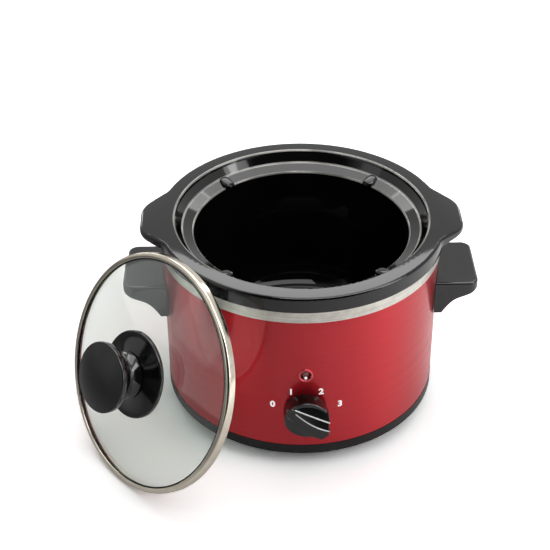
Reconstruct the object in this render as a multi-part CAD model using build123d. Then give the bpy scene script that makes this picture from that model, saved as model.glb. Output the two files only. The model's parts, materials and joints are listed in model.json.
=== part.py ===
from build123d import *
import math
import os

# Small round electric slow cooker: lacquered drum, heating well, lift-out stoneware crock,
# two side handles, rotary heat control, and a glass lid that leans against the crock's rim.
# Millimetres. The Z axis is the cooker's axis and Z = 0 is the table. The front is -Y.

os.makedirs("parts", exist_ok=True)

# ---------------------------------------------------------------- clearances
SEAT_GAP = 0.3            # between two pieces that rest on each other
SKIN_GAP = 0.2            # between nested curved sheets of one assembly
RUNNING_GAP = 0.05        # radial, shaft in its bush
SCREW_GAP = 0.4           # radial, screw or bush in a clearance hole
THREAD_GAP = 0.1          # radial, screw in the hole it holds in

# ---------------------------------------------------------------- drum and base
BODY_AIR_GAP = 10.5       # between the well's wall and the outside of the drum, at the top
SHELL_THICKNESS = 0.7
FOOT_HEIGHT = 12.5        # table to the underside of the base
BASE_LIP_HEIGHT = 8.2     # black band that shows below the drum
BASE_LIP_PROUD = 0.2
BODY_TOP = 133.8          # top of the heating well's flange
SEAM_WIDTH = 11.0
SEAM_THICKNESS = 0.6
BASE_FLOOR = 2.4
BASE_SPIGOT_HEIGHT = 7.0
BASE_SPIGOT_WALL = 2.4
RING_FOOT_RADIUS = 74.0
RING_FOOT_WALL = 6.0
PAD_COUNT = 4
PAD_RADIUS = 4.6
PAD_PROUD = 0.5
PAD_DEPTH = 3.0
VENT_COUNT = 12
VENT_LENGTH = 16.0
VENT_WIDTH = 3.2
VENT_CIRCLE = 50.0

# ---------------------------------------------------------------- heating well
WELL_THICKNESS = 0.9
WELL_GAP = 1.8            # round the crock, at the well's mouth
WELL_LOW_GAP = 2.0        # round the crock, where the well's corner starts
WELL_FLOOR_Z = 31.5
BAND_HEIGHT = 8.6         # bare metal band outside the drum
BAND_GAP = 0.2

# ---------------------------------------------------------------- crock
CROCK_RADIUS = 81.8       # outside of the pot, under the rim
CROCK_TAPER = 7.2         # the pot is this much narrower where its floor corner starts
CROCK_WALL = 7.8          # at the mouth
CROCK_LOW_WALL = 7.0
CROCK_RIM_WIDTH = 12.2    # from the recess to the rim's outer edge
CROCK_RIM_HEIGHT = 12.0   # underside of the rim to its crest
CROCK_RIM_FALL = 0.6      # from the crest down to the rim's outer edge, before it is rounded
CROCK_RIM_ROUND = 2.0
CROCK_UNDER_ROUND = 1.2
CREST_INSET = 2.0         # from the recess to where the crest starts to fall
CROCK_CORNER = 24.0
CROCK_FLOOR_GAP = 3.0     # the crock hangs by its rim, clear of the well's floor
CAVITY_CORNER = 20.0
CAVITY_FLOOR = 7.6
MOUTH_RISE = 0.8          # from the rim's underside to the edge between the cavity and the ledge
LEDGE_WIDTH = 7.8         # the ledge that the lid rests on
LEDGE_RISE = 3.4
RECESS_LEAN = 4.2         # how far the recess's wall leans out from the ledge
RECESS_DROP = 2.5         # below the crest, where the recess's wall ends
NUB_ANGLE = 48.0          # from the line through the lugs
NUB_RADIUS = 3.4
NUB_INSET = 5.0           # from the mouth to a nub's centre
NUB_HEIGHT = 1.4
NUB_DEPTH = 2.0           # how far a nub is rooted in the ledge
LUG_PROUD = 11.8          # beyond the rim
LUG_TIP_HALF_WIDTH = 15.6
LUG_ROOT_HALF_WIDTH = 37.6
LUG_ROOT_INSET = 10.2
LUG_TIP_FILLET = 19.0
LUG_ROOT_FILLET = 15.0
LUG_FALL = 3.2            # from the crest down to the lug's tip
LUG_TIP_THICKNESS = 3.6
LUG_ROOT_THICKNESS = 7.0

# ---------------------------------------------------------------- handles
HANDLE_PROUD = 26.6       # beyond the drum
HANDLE_HALF_WIDTH = 25.8
HANDLE_TOP_Z = 104.2
HANDLE_TIP_DEPTH = 9.0
HANDLE_ROOT_DEPTH = 24.7
HANDLE_WALL = 3.0
HANDLE_CORNER = 7.0
HANDLE_SCREW_RADIUS = 1.5
HANDLE_SCREW_HEAD = 3.1
HANDLE_SCREW_LENGTH = 12.0
HANDLE_SCREW_DROP = 8.4   # below the handle's top
HANDLE_SCREW_ANGLE = 8.5  # about the cooker's axis, each side of the handle's middle

# ---------------------------------------------------------------- heat control
CONTROL_Z = 51.8
KNOB_RADIUS = 14.8
KNOB_BACK_RADIUS = 13.4
KNOB_DEPTH = 11.4
KNOB_STANDOFF = 0.6
KNOB_SKIN = 2.0
KNOB_POCKET_DEPTH = 2.6
GRIP_POINTER_REACH = 13.4
GRIP_TAIL_REACH = 19.2
GRIP_POINTER_HALF_WIDTH = 2.0
GRIP_TAIL_HALF_WIDTH = 7.0
GRIP_CREST_HALF_WIDTH = 0.5
GRIP_DEPTH = 7.4
GRIP_CORNER = 4.0
POINTER_ANGLE = -54.0     # at rest, seen from the front, from straight up
SHAFT_RADIUS = 3.0
SHAFT_FLAT = 0.8
BUSH_RADIUS = 4.5
BUSH_PROUD = 4.4
SWITCH_WIDTH = 22.0
SWITCH_HEIGHT = 18.0
SWITCH_DEPTH = 13.5
SWITCH_NUT_FLATS = 12.0
SWITCH_NUT_THICKNESS = 2.2
TAG_LENGTH = 5.0
LAMP_Z = 81.3
LAMP_RADIUS = 4.2
LAMP_FLANGE = 1.0
LAMP_DEPTH = 6.4

# ---------------------------------------------------------------- heater, shield and wiring
HEATER_RISE = 42.5        # from the well's floor to the band
HEATER_HEIGHT = 34.0
HEATER_THICKNESS = 1.5
HEATER_OPENING = 30.0     # degrees left open at the back
STRAP_HEIGHT = 8.0
STRAP_THICKNESS = 0.6
STRAP_EAR = 7.0
STRAP_EAR_SPACING = 12.0
STRAP_BOLT_RADIUS = 1.5
SHIELD_SIDE_GAP = 8.3     # between the shield and the drum
SHIELD_LIP = 4.0
SHIELD_CUT_DEPTH = 24.0   # cut-outs in the shield's edge for the control and the cord
SHIELD_CUT_MARGIN = 6.0
SHIELD_THICKNESS = 0.6
SHIELD_DROP = 6.2         # below the well's floor
STUD_RADIUS = 2.0
STUD_FLANGE_RADIUS = 8.0
STUD_FLANGE = 1.2
NUT_FLATS = 7.0
NUT_THICKNESS = 3.2
FUSE_RADIUS = 2.0
FUSE_LENGTH = 11.0
FUSE_X = 34.0
GLAND_RADIUS = 7.0
GLAND_BORE = 3.6
GLAND_PROUD = 9.0
GLAND_FLANGE = 2.0
GLAND_COLLAR = 1.6        # how far the gland spreads inside the drum
GLAND_INSIDE = 6.0        # how far it reaches into the drum
GLAND_GRIP = 10.0         # the stretch of its bore that holds the cord, outside the drum
GLAND_FUNNEL = 1.0        # how much wider the bore is behind that
BLOCK_LENGTH = 24.0
BLOCK_WIDTH = 12.0
BLOCK_HEIGHT = 6.5
BLOCK_X = -30.0
BLOCK_Y = 42.0
WIRE_RADIUS = 1.1
WIRE_BEND = 7.0
WIRE_FLOOR_GAP = 2.6      # between a wire's centre and the base
WIRE_DROP = 10.0          # behind the gland, where the wires turn down
WIRE_CIRCLE = 60.0        # the live wire goes round the base on this circle

# ---------------------------------------------------------------- lid
LID_SIDE_GAP = 1.8        # between the lid and the edge of the ledge it rests on in use
LID_TILT = 22.7           # from upright
LID_BEARING = 218.4       # direction, from +X, in which the lid's top side faces
GLASS_THICKNESS = 4.0
GLASS_RISE = 11.8
GLASS_EDGE_Z = 1.9        # outer face of the glass above the rim's mid plane, at its edge
RIM_THICKNESS = 0.7
RIM_ABOVE = 3.0
RIM_BELOW = 2.9
RIM_LEG = 5.2
COLLAR_RADIUS = 29.1
COLLAR_EDGE = 3.6
COLLAR_DISH_RADIUS = 15.5
COLLAR_DISH_Z = 18.6
NECK_RADIUS = 12.2
NECK_Z = 28.5
CAP_RADIUS = 23.2
CAP_LOW_Z = 36.5
CAP_EDGE = 5.4
CAP_DOME = 5.6
LID_SCREW_RADIUS = 2.0
LID_SCREW_HEAD = 4.6
LID_SCREW_HEAD_HEIGHT = 2.4
LID_SCREW_LENGTH = 24.0
LID_WASHER_RADIUS = 11.0
LID_WASHER_THICKNESS = 1.5

# ---------------------------------------------------------------- sizes that follow from those above
crock_low_radius = CROCK_RADIUS - CROCK_TAPER
cavity_top_radius = CROCK_RADIUS - CROCK_WALL
cavity_low_radius = crock_low_radius - CROCK_LOW_WALL
ledge_radius = cavity_top_radius + LEDGE_WIDTH
recess_radius = ledge_radius + RECESS_LEAN
crock_rim_radius = recess_radius + CROCK_RIM_WIDTH
crest_radius = recess_radius + CREST_INSET
lug_reach = crock_rim_radius + LUG_PROUD
lug_root_x = crock_rim_radius - LUG_ROOT_INSET
well_top_radius = CROCK_RADIUS + WELL_GAP
well_low_radius = crock_low_radius + WELL_LOW_GAP
well_corner = CROCK_CORNER + WELL_LOW_GAP
body_radius = well_top_radius + WELL_THICKNESS + BODY_AIR_GAP
handle_reach = body_radius + HANDLE_PROUD
lid_radius = ledge_radius - LID_SIDE_GAP
base_z = FOOT_HEIGHT
shell_low_z = base_z + BASE_LIP_HEIGHT + SKIN_GAP
shell_inner = body_radius - SHELL_THICKNESS
shell_high_z = BODY_TOP - WELL_THICKNESS - SKIN_GAP
band_inner = body_radius + BAND_GAP
band_outer = band_inner + WELL_THICKNESS
well_under_z = WELL_FLOOR_Z - WELL_THICKNESS
crock_under_rim_z = BODY_TOP + SEAT_GAP
crest_z = crock_under_rim_z + CROCK_RIM_HEIGHT
mouth_z = crock_under_rim_z + MOUTH_RISE
recess_z = crest_z - RECESS_DROP
rim_edge_z = crest_z - CROCK_RIM_FALL
crock_bottom_z = WELL_FLOOR_Z + CROCK_FLOOR_GAP
cavity_floor_z = crock_bottom_z + CAVITY_FLOOR
heater_low_z = WELL_FLOOR_Z + HEATER_RISE
shield_radius = shell_inner - SHIELD_SIDE_GAP
shield_z = well_under_z - SHIELD_DROP
shield_nut_z = shield_z - SKIN_GAP - NUT_THICKNESS
base_floor_top = base_z + BASE_FLOOR
spigot_high_z = base_z + BASE_LIP_HEIGHT + BASE_SPIGOT_HEIGHT
gland_z = spigot_high_z + SEAT_GAP + GLAND_RADIUS + GLAND_COLLAR
handle_screw_z = HANDLE_TOP_Z - HANDLE_SCREW_DROP
handle_screw_angles = [side + turn for side in (0, 180) for turn in (HANDLE_SCREW_ANGLE, -HANDLE_SCREW_ANGLE)]
glass_radius = lid_radius - RIM_THICKNESS - SKIN_GAP
glass_sphere = (glass_radius**2 + GLASS_RISE**2) / (2 * GLASS_RISE)
glass_top_z = GLASS_EDGE_Z + GLASS_RISE
steel_grip = lid_radius - RIM_LEG

LOW = (Align.CENTER, Align.CENTER, Align.MIN)
nodes = {}


def keep(name, shape):
    """File a finished piece under its node name."""
    shape.label = name
    nodes[name] = shape
    return shape


def turned(*pieces):
    """Revolve a closed outline, drawn as radius and height, about the Z axis."""
    return revolve(Plane.XZ * make_face(Curve() + list(pieces)), Axis.Z)


def turned_polygon(*points):
    """Revolve a closed outline of straight sides."""
    return turned(Polyline(*points, close=True))


def tube(outer, inner, low, high):
    """Upright tube between two heights."""
    ring = Circle(outer) - Circle(inner)
    return extrude(Pos(0, 0, low) * ring, high - low)


def rod(radius, low, high):
    """Upright round bar between two heights."""
    return extrude(Pos(0, 0, low) * Circle(radius), high - low)


def radial(angle, height):
    """Frame on the cooker's axis whose Z axis points outwards at an angle from +X."""
    return Pos(0, 0, height) * Rot(0, 0, angle) * Rot(0, 90, 0)


def front(height):
    """Frame on the cooker's axis whose Z axis points to the front and whose Y axis points up."""
    return Pos(0, 0, height) * Rot(90, 0, 0)


def hexagon(flats, thickness):
    """Hexagonal prism from Z = 0 up, measured across its flats."""
    return extrude(RegularPolygon(flats / math.sqrt(3), 6), thickness)


def around(count, first=0.0):
    """Turns that spread copies evenly about the Z axis."""
    return [Rot(0, 0, first + 360 / count * i) for i in range(count)]


# ================================================================ base
def make_base_pan():
    lip_radius = body_radius + BASE_LIP_PROUD
    lip_top = base_z + BASE_LIP_HEIGHT
    spigot_outer = shell_inner - SKIN_GAP
    spigot_inner = spigot_outer - BASE_SPIGOT_WALL
    pan = rod(lip_radius, base_z, lip_top)
    pan = chamfer(pan.edges().group_by(Axis.Z)[0], 1.0)
    pan += rod(spigot_outer, lip_top, lip_top + BASE_SPIGOT_HEIGHT)
    pan -= rod(spigot_inner, base_floor_top, lip_top + BASE_SPIGOT_HEIGHT)
    ring_low = PAD_PROUD
    pan += tube(RING_FOOT_RADIUS, RING_FOOT_RADIUS - RING_FOOT_WALL, ring_low, base_z)
    pad_circle = RING_FOOT_RADIUS - RING_FOOT_WALL / 2
    boss_radius = PAD_RADIUS + BASE_FLOOR
    for turn in around(PAD_COUNT, 45):
        pan += turn * Pos(pad_circle, 0) * rod(boss_radius, ring_low, base_z)
    for turn in around(PAD_COUNT, 45):
        pan -= turn * Pos(pad_circle, 0) * rod(PAD_RADIUS + THREAD_GAP, 0, PAD_DEPTH + SEAT_GAP)
    slot = extrude(SlotOverall(VENT_LENGTH, VENT_WIDTH), BASE_FLOOR + 2)
    for turn in around(VENT_COUNT, 15):
        pan -= turn * Pos(VENT_CIRCLE, 0, base_z - 1) * slot
    boss_top = shield_nut_z - SEAT_GAP
    pan += rod(NUT_FLATS, base_floor_top, boss_top)
    pan -= rod(STUD_RADIUS + SCREW_GAP, base_z - 1, boss_top + 1)
    return pan


def make_rubber_pads():
    pad_circle = RING_FOOT_RADIUS - RING_FOOT_WALL / 2
    pad = fillet(rod(PAD_RADIUS, 0, PAD_DEPTH).edges().group_by(Axis.Z)[0], 0.3)
    return Compound(children=[turn * Pos(pad_circle, 0) * pad for turn in around(PAD_COUNT, 45)])


# ================================================================ drum
def make_housing_shell():
    shell = tube(body_radius, shell_inner, shell_low_z, shell_high_z)
    seam_high_z = shell_high_z - BAND_HEIGHT - 1
    seam = tube(body_radius + SEAM_THICKNESS, body_radius - SKIN_GAP, shell_low_z, seam_high_z)
    seam &= Pos(0, body_radius, (shell_low_z + shell_high_z) / 2) * Box(SEAM_WIDTH, 20, 200)
    shell += seam
    shell -= front(CONTROL_Z) * rod(BUSH_RADIUS + SCREW_GAP, 0, body_radius + 5)
    shell -= front(LAMP_Z) * rod(LAMP_RADIUS + SCREW_GAP, 0, body_radius + 5)
    shell -= radial(90, gland_z) * rod(GLAND_RADIUS + SCREW_GAP, 0, body_radius + 5)
    for angle in handle_screw_angles:
        hole = rod(HANDLE_SCREW_RADIUS + SCREW_GAP, 0, body_radius + 5)
        shell -= radial(angle, handle_screw_z) * hole
    return shell


# ================================================================ heating well
def well_outer_radius(height):
    """Outside radius of the well's tapered wall."""
    share = (height - WELL_FLOOR_Z - well_corner) / (BODY_TOP - WELL_FLOOR_Z - well_corner)
    return well_low_radius + (well_top_radius - well_low_radius) * share + WELL_THICKNESS


def vessel(top_radius, top_z, low_radius, floor_z, corner):
    """Solid inside of a tapered round vessel with a rounded floor corner."""
    floor_edge = low_radius - corner
    side = Line((top_radius, top_z), (low_radius, floor_z + corner))
    bend = RadiusArc((low_radius, floor_z + corner), (floor_edge, floor_z), corner)
    floor = Line((floor_edge, floor_z), (0, floor_z))
    axis = Line((0, floor_z), (0, top_z))
    lid = Line((0, top_z), (top_radius, top_z))
    return turned(side, bend, floor, axis, lid)


def make_heating_well():
    outside = vessel(
        well_top_radius + WELL_THICKNESS, BODY_TOP, well_low_radius + WELL_THICKNESS, well_under_z,
        well_corner + WELL_THICKNESS,
    )
    flange = rod(band_outer, BODY_TOP - WELL_THICKNESS, BODY_TOP)
    skirt = tube(band_outer, band_inner, BODY_TOP - BAND_HEIGHT, BODY_TOP)
    well = outside + flange + skirt
    well -= vessel(well_top_radius, BODY_TOP, well_low_radius, WELL_FLOOR_Z, well_corner)
    shoulder = well.edges().filter_by(GeomType.CIRCLE).filter_by(
        lambda e: abs(e.radius - band_outer) < 0.01 and abs(e.center().Z - BODY_TOP) < 0.01
    )
    return fillet(shoulder, 0.8 * WELL_THICKNESS)


# ================================================================ crock
def make_crock():
    lug = Polygon(
        (0, LUG_TIP_HALF_WIDTH), (0, -LUG_TIP_HALF_WIDTH), (lug_root_x, -LUG_ROOT_HALF_WIDTH),
        (lug_reach, -LUG_TIP_HALF_WIDTH), (lug_reach, LUG_TIP_HALF_WIDTH), (lug_root_x, LUG_ROOT_HALF_WIDTH),
        align=None,
    )
    plate = Circle(crock_rim_radius) + lug + Rot(0, 0, 180) * lug
    tips = plate.vertices().filter_by(lambda v: abs(abs(v.X) - lug_reach) < 0.01)
    plate = fillet(tips, LUG_TIP_FILLET)
    roots = plate.vertices().filter_by(
        lambda v: abs(math.hypot(v.X, v.Y) - crock_rim_radius) < 0.05 and abs(v.X) > lug_root_x - 10
    )
    plate = fillet(roots, LUG_ROOT_FILLET)
    reach = lug_reach + 2
    tip_z = crest_z - LUG_FALL
    crest = ThreePointArc((reach, tip_z), (crock_rim_radius, rim_edge_z), (crest_radius, crest_z))
    dome = turned(
        Line((0, crock_under_rim_z), (reach, crock_under_rim_z)),
        Line((reach, crock_under_rim_z), (reach, tip_z)),
        crest,
        Line((crest_radius, crest_z), (0, crest_z)),
        Line((0, crest_z), (0, crock_under_rim_z)),
    )
    lug_root_z = rim_edge_z - LUG_ROOT_THICKNESS
    lug_side = turned_polygon(
        (0, lug_root_z), (crock_rim_radius - 2, lug_root_z), (reach, tip_z - LUG_TIP_THICKNESS),
        (reach, crest_z + 1), (0, crest_z + 1),
    )
    rim = extrude(Pos(0, 0, crock_under_rim_z) * Circle(crock_rim_radius), CROCK_RIM_HEIGHT + 2)
    rim += extrude(Pos(0, 0, crock_under_rim_z) * plate, CROCK_RIM_HEIGHT + 2) & lug_side
    rim &= dome
    top_edges = rim.edges().filter_by(
        lambda e: min(math.hypot(v.X, v.Y) for v in (e @ 0, e @ 0.5, e @ 1)) > crock_rim_radius - 0.5
        and min((e @ 0).Z, (e @ 1).Z) > tip_z - 0.5
    )
    rim = fillet(top_edges, CROCK_RIM_ROUND)
    low_edges = rim.faces().sort_by(Axis.Z)[0].edges()
    rim = fillet(low_edges, CROCK_UNDER_ROUND)
    under_edges = rim.edges().filter_by(
        lambda e: min(math.hypot(v.X, v.Y) for v in (e @ 0, e @ 0.5, e @ 1)) > crock_rim_radius + 0.5
        and max((e @ 0).Z, (e @ 1).Z) < tip_z - CROCK_RIM_ROUND
        and abs((e @ 0).Z - (e @ 1).Z) < CROCK_RIM_ROUND
    )
    rim = fillet(under_edges, CROCK_UNDER_ROUND)

    pot = vessel(CROCK_RADIUS, crock_under_rim_z + 1, crock_low_radius, crock_bottom_z, CROCK_CORNER)
    crock = rim + pot
    hollow = make_face(Polyline(
        (0, cavity_floor_z), (cavity_low_radius, cavity_floor_z), (cavity_top_radius, mouth_z),
        (ledge_radius, mouth_z + LEDGE_RISE), (recess_radius, recess_z), (recess_radius + 1.2, crest_z + 1),
        (0, crest_z + 1), close=True,
    ))
    for radius, height, bend in (
        (cavity_low_radius, cavity_floor_z, CAVITY_CORNER),
        (cavity_top_radius, mouth_z, 1.6),
        (ledge_radius, mouth_z + LEDGE_RISE, 1.0),
    ):
        hollow = fillet(hollow.vertices().sort_by_distance((radius, height))[0], bend)
    crock -= revolve(Plane.XZ * hollow, Axis.Z)
    inner_crest = crock.edges().filter_by(GeomType.CIRCLE).filter_by(
        lambda e: e.center().Z > recess_z and abs(e.radius - recess_radius) < 1.5
    )
    crock = fillet(inner_crest.sort_by(Axis.Z)[-1:], 1.4)
    for side in (0, 180):
        for turn in (NUB_ANGLE, -NUB_ANGLE):
            nub_z = mouth_z + LEDGE_RISE * NUB_INSET / LEDGE_WIDTH
            nub = rod(NUB_RADIUS, nub_z - NUB_DEPTH, nub_z + NUB_HEIGHT)
            nub = fillet(nub.edges().group_by(Axis.Z)[-1], 1.0)
            crock += Rot(0, 0, side + turn) * Pos(cavity_top_radius + NUB_INSET, 0) * nub
    return crock


# ================================================================ handles
def make_handle():
    """The right-hand handle, at +X: a plate on a bracket, hollow towards the drum."""
    root = body_radius - 8
    inner = body_radius + SEAT_GAP
    under_tip = HANDLE_TOP_Z - HANDLE_TIP_DEPTH
    bottom = HANDLE_TOP_Z - HANDLE_ROOT_DEPTH
    tip = (handle_reach + 1, under_tip + 4)
    toe = (inner + 1.8, bottom)
    side = make_face(Curve() + [
        Polyline((root, bottom), (root, HANDLE_TOP_Z), (handle_reach + 1, HANDLE_TOP_Z), tip),
        Spline(
            tip, (handle_reach - 5.6, under_tip), (handle_reach - 11, under_tip - 2.3),
            (handle_reach - 15.4, under_tip - 4.4), (handle_reach - 20, under_tip - 8.8), toe,
        ),
        Line(toe, (root, bottom)),
    ])
    plan = Polygon(
        (root, -HANDLE_HALF_WIDTH), (handle_reach, -HANDLE_HALF_WIDTH),
        (handle_reach, HANDLE_HALF_WIDTH), (root, HANDLE_HALF_WIDTH), align=None,
    )
    plan = fillet(plan.vertices().group_by(Axis.X)[-1], HANDLE_CORNER)
    block = extrude(Pos(0, 0, bottom) * plan, HANDLE_ROOT_DEPTH)
    solid_side = extrude(Plane.XZ * side, 2 * HANDLE_HALF_WIDTH, both=True)
    grip = block & solid_side
    top = grip.faces().sort_by(Axis.Z)[-1].edges().filter_by(lambda e: e.center().X > inner)
    grip = fillet(top, 1.4)
    pocket_top = HANDLE_TOP_Z - HANDLE_WALL
    pocket_side = make_face(Polyline(
        (root - 1, pocket_top), (handle_reach - 2.4 * HANDLE_WALL, pocket_top),
        (handle_reach - 12, under_tip + HANDLE_WALL - 1), (handle_reach - 17, under_tip - 1),
        (inner + 2.0, bottom + 3 * HANDLE_WALL), (root - 1, bottom + 3 * HANDLE_WALL), close=True,
    ))
    pocket = extrude(Plane.XZ * pocket_side, HANDLE_HALF_WIDTH - HANDLE_WALL, both=True)
    grip -= pocket
    for angle in (HANDLE_SCREW_ANGLE, -HANDLE_SCREW_ANGLE):
        boss = rod(HANDLE_SCREW_RADIUS + HANDLE_WALL - 1, root, inner + HANDLE_SCREW_LENGTH + 1)
        grip += (radial(angle, handle_screw_z) * boss) & solid_side
    for angle in (HANDLE_SCREW_ANGLE, -HANDLE_SCREW_ANGLE):
        hole = rod(HANDLE_SCREW_RADIUS + THREAD_GAP, 0, inner + HANDLE_SCREW_LENGTH - 2)
        grip -= radial(angle, handle_screw_z) * hole
    return grip - rod(inner, 0, 2 * HANDLE_TOP_Z)


def make_handle_screws():
    screws = []
    head_seat = shell_inner - SKIN_GAP
    for angle in handle_screw_angles:
        shank = rod(HANDLE_SCREW_RADIUS, head_seat - 0.1, head_seat + HANDLE_SCREW_LENGTH - 2)
        head = rod(HANDLE_SCREW_HEAD, head_seat - 2.0, head_seat)
        head = fillet(head.edges().group_by(Axis.Z)[0], 1.0)
        head -= Pos(0, 0, head_seat - 2.0) * Box(0.9, 4.4, 1.6)
        screws.append(radial(angle, handle_screw_z) * (shank + head))
    return Compound(children=screws)


# ================================================================ heat control
def grip_outline(pointer, tail, height):
    """Tapered outline of the grip bar, pointing straight up."""
    point_left, point_right = (-pointer, GRIP_POINTER_REACH), (pointer, GRIP_POINTER_REACH)
    tail_left, tail_right = (-tail, -GRIP_TAIL_REACH), (tail, -GRIP_TAIL_REACH)
    return Pos(0, 0, height) * make_face(Polyline(point_left, tail_left, tail_right, point_right, close=True))


def make_control_knob():
    """Round knob with a tapered, ridged grip bar across a shallow pocket."""
    back = body_radius + KNOB_STANDOFF
    face = back + KNOB_DEPTH
    floor = face - KNOB_POCKET_DEPTH
    knob = Pos(0, 0, back) * Cone(KNOB_BACK_RADIUS, KNOB_RADIUS, KNOB_DEPTH, align=LOW)
    knob = fillet(knob.edges().group_by(Axis.Z)[-1], KNOB_SKIN / 2)
    knob -= rod(KNOB_RADIUS - KNOB_SKIN, floor, face + 1)
    foot = grip_outline(GRIP_POINTER_HALF_WIDTH, GRIP_TAIL_HALF_WIDTH, floor)
    crest = grip_outline(GRIP_CREST_HALF_WIDTH, 2 * GRIP_CREST_HALF_WIDTH, face)
    grip = loft([foot, crest], ruled=True) + extrude(foot, face - GRIP_DEPTH - floor)
    corners = grip.edges().filter_by(Axis.Z).filter_by(lambda e: e.center().Y < -KNOB_RADIUS)
    knob += fillet(corners, GRIP_CORNER)
    nut_room = BUSH_PROUD + 1.6
    knob -= rod(SWITCH_NUT_FLATS / math.sqrt(3) + SCREW_GAP, back - 1, back + nut_room)
    knob -= rod(SHAFT_RADIUS + THREAD_GAP, back, floor - 1.0)
    return front(CONTROL_Z) * Rot(0, 0, -POINTER_ANGLE) * knob


def make_switch_shaft():
    start = shell_inner - SWITCH_DEPTH / 2
    end = body_radius + KNOB_STANDOFF + KNOB_DEPTH - KNOB_POCKET_DEPTH - 1.0 - SEAT_GAP
    shaft = rod(SHAFT_RADIUS, start, end)
    flat_start = body_radius + BUSH_PROUD + 0.6
    flat = Pos(0, SHAFT_RADIUS, (flat_start + end) / 2 + 1) * Box(8, 2 * SHAFT_FLAT, end - flat_start + 2)
    return front(CONTROL_Z) * Rot(0, 0, -POINTER_ANGLE) * (shaft - flat)


def make_switch_body():
    seat = shell_inner - 0.9
    case = Pos(0, 0, seat - SWITCH_DEPTH / 2) * Box(SWITCH_WIDTH, SWITCH_HEIGHT, SWITCH_DEPTH)
    case = fillet(case.edges().filter_by(Axis.Z), 2.0)
    case += rod(BUSH_RADIUS, seat, body_radius + BUSH_PROUD)
    bush_low = shell_inner - SWITCH_DEPTH / 2 - SEAT_GAP
    case -= rod(SHAFT_RADIUS + RUNNING_GAP, bush_low, body_radius + BUSH_PROUD + 1)
    for x in (-SWITCH_WIDTH / 4, SWITCH_WIDTH / 4):
        tag_middle = -SWITCH_HEIGHT / 2 - TAG_LENGTH / 2 + 0.5
        case += Pos(x, tag_middle, seat - SWITCH_DEPTH / 2) * Box(4.0, TAG_LENGTH + 1, 0.8)
    return front(CONTROL_Z) * case


def make_switch_nut():
    nut = Pos(0, 0, body_radius + SKIN_GAP) * hexagon(SWITCH_NUT_FLATS, SWITCH_NUT_THICKNESS)
    nut -= rod(BUSH_RADIUS + THREAD_GAP, 0, body_radius + 10)
    return front(CONTROL_Z) * nut


def make_indicator_lens():
    lens = rod(LAMP_RADIUS, shell_inner - LAMP_DEPTH, body_radius + LAMP_FLANGE)
    flange = rod(LAMP_RADIUS + LAMP_FLANGE, body_radius + SEAT_GAP, body_radius + LAMP_FLANGE)
    lens = fillet((lens + flange).edges().group_by(Axis.Z)[-1], LAMP_FLANGE / 2)
    lens -= rod(LAMP_RADIUS - 1.2, shell_inner - LAMP_DEPTH - 1, body_radius - 1.0)
    return front(LAMP_Z) * lens


def make_neon_lamp():
    high = body_radius - 1.0 - SEAT_GAP
    lamp = rod(LAMP_RADIUS - 1.5, shell_inner - LAMP_DEPTH - 1.5, high)
    return front(LAMP_Z) * fillet(lamp.edges().group_by(Axis.Z)[-1], 1.2)


def make_lamp_clip():
    """Push-on ring that holds the lens against the inside of the drum."""
    plate = tube(LAMP_RADIUS + 2.4, LAMP_RADIUS + THREAD_GAP, shell_inner - 2.2, shell_inner - 1.0)
    return front(LAMP_Z) * plate


# ================================================================ heater
def cone_sleeve(low, height, inner_gap, thickness):
    """Sleeve that follows the well's tapered wall."""
    r_low = well_outer_radius(low) + inner_gap
    r_high = well_outer_radius(low + height) + inner_gap
    return turned_polygon(
        (r_low, low), (r_low + thickness, low), (r_high + thickness, low + height), (r_high, low + height),
    )


def wedge(angle, reach, height):
    """Sector about +Y, used to open a ring at the back."""
    half = math.radians(angle / 2)
    corner = (reach * math.sin(half), reach * math.cos(half))
    return extrude(make_face(Polyline((0, 0), corner, (-corner[0], corner[1]), close=True)), height)


def make_heater_band():
    band = cone_sleeve(heater_low_z, HEATER_HEIGHT, SKIN_GAP, HEATER_THICKNESS)
    return band - wedge(HEATER_OPENING, 2 * body_radius, 2 * BODY_TOP)


strap_low = heater_low_z + (HEATER_HEIGHT - STRAP_HEIGHT) / 2
strap_outer = well_outer_radius(strap_low + STRAP_HEIGHT) + 2 * SKIN_GAP + HEATER_THICKNESS + STRAP_THICKNESS
strap_bolt_z = strap_low + STRAP_HEIGHT / 2
strap_bolt_y = strap_outer + STRAP_EAR / 2


def make_heater_strap():
    strap = cone_sleeve(strap_low, STRAP_HEIGHT, 2 * SKIN_GAP + HEATER_THICKNESS, STRAP_THICKNESS)
    gap = 2 * math.degrees(math.asin(STRAP_EAR_SPACING / 2 / strap_outer))
    strap -= wedge(gap, 2 * body_radius, 2 * BODY_TOP)
    for side in (1, -1):
        x = side * (STRAP_EAR_SPACING + STRAP_THICKNESS) / 2
        foot = strap_outer - 2 * STRAP_THICKNESS - 0.4
        ear = Pos(x, (foot + strap_outer + STRAP_EAR) / 2, strap_bolt_z)
        strap += ear * Box(STRAP_THICKNESS, strap_outer + STRAP_EAR - foot, STRAP_HEIGHT)
    hole = Pos(0, strap_bolt_y, strap_bolt_z) * Rot(0, 90, 0) * Cylinder(STRAP_BOLT_RADIUS + THREAD_GAP, 60)
    return strap - hole


def make_strap_bolt():
    half = STRAP_EAR_SPACING / 2 + STRAP_THICKNESS + SKIN_GAP
    bolt = rod(STRAP_BOLT_RADIUS, -half - 4.0, half + 0.1)
    bolt += rod(2 * STRAP_BOLT_RADIUS, half, half + 2.0)
    nut = Pos(0, 0, -half - 2.4) * hexagon(5.5, 2.4)
    nut -= rod(STRAP_BOLT_RADIUS + THREAD_GAP, -half - 5, half)
    place = Pos(0, strap_bolt_y, strap_bolt_z) * Rot(0, 90, 0)
    return Compound(children=[place * bolt, place * nut])


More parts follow.
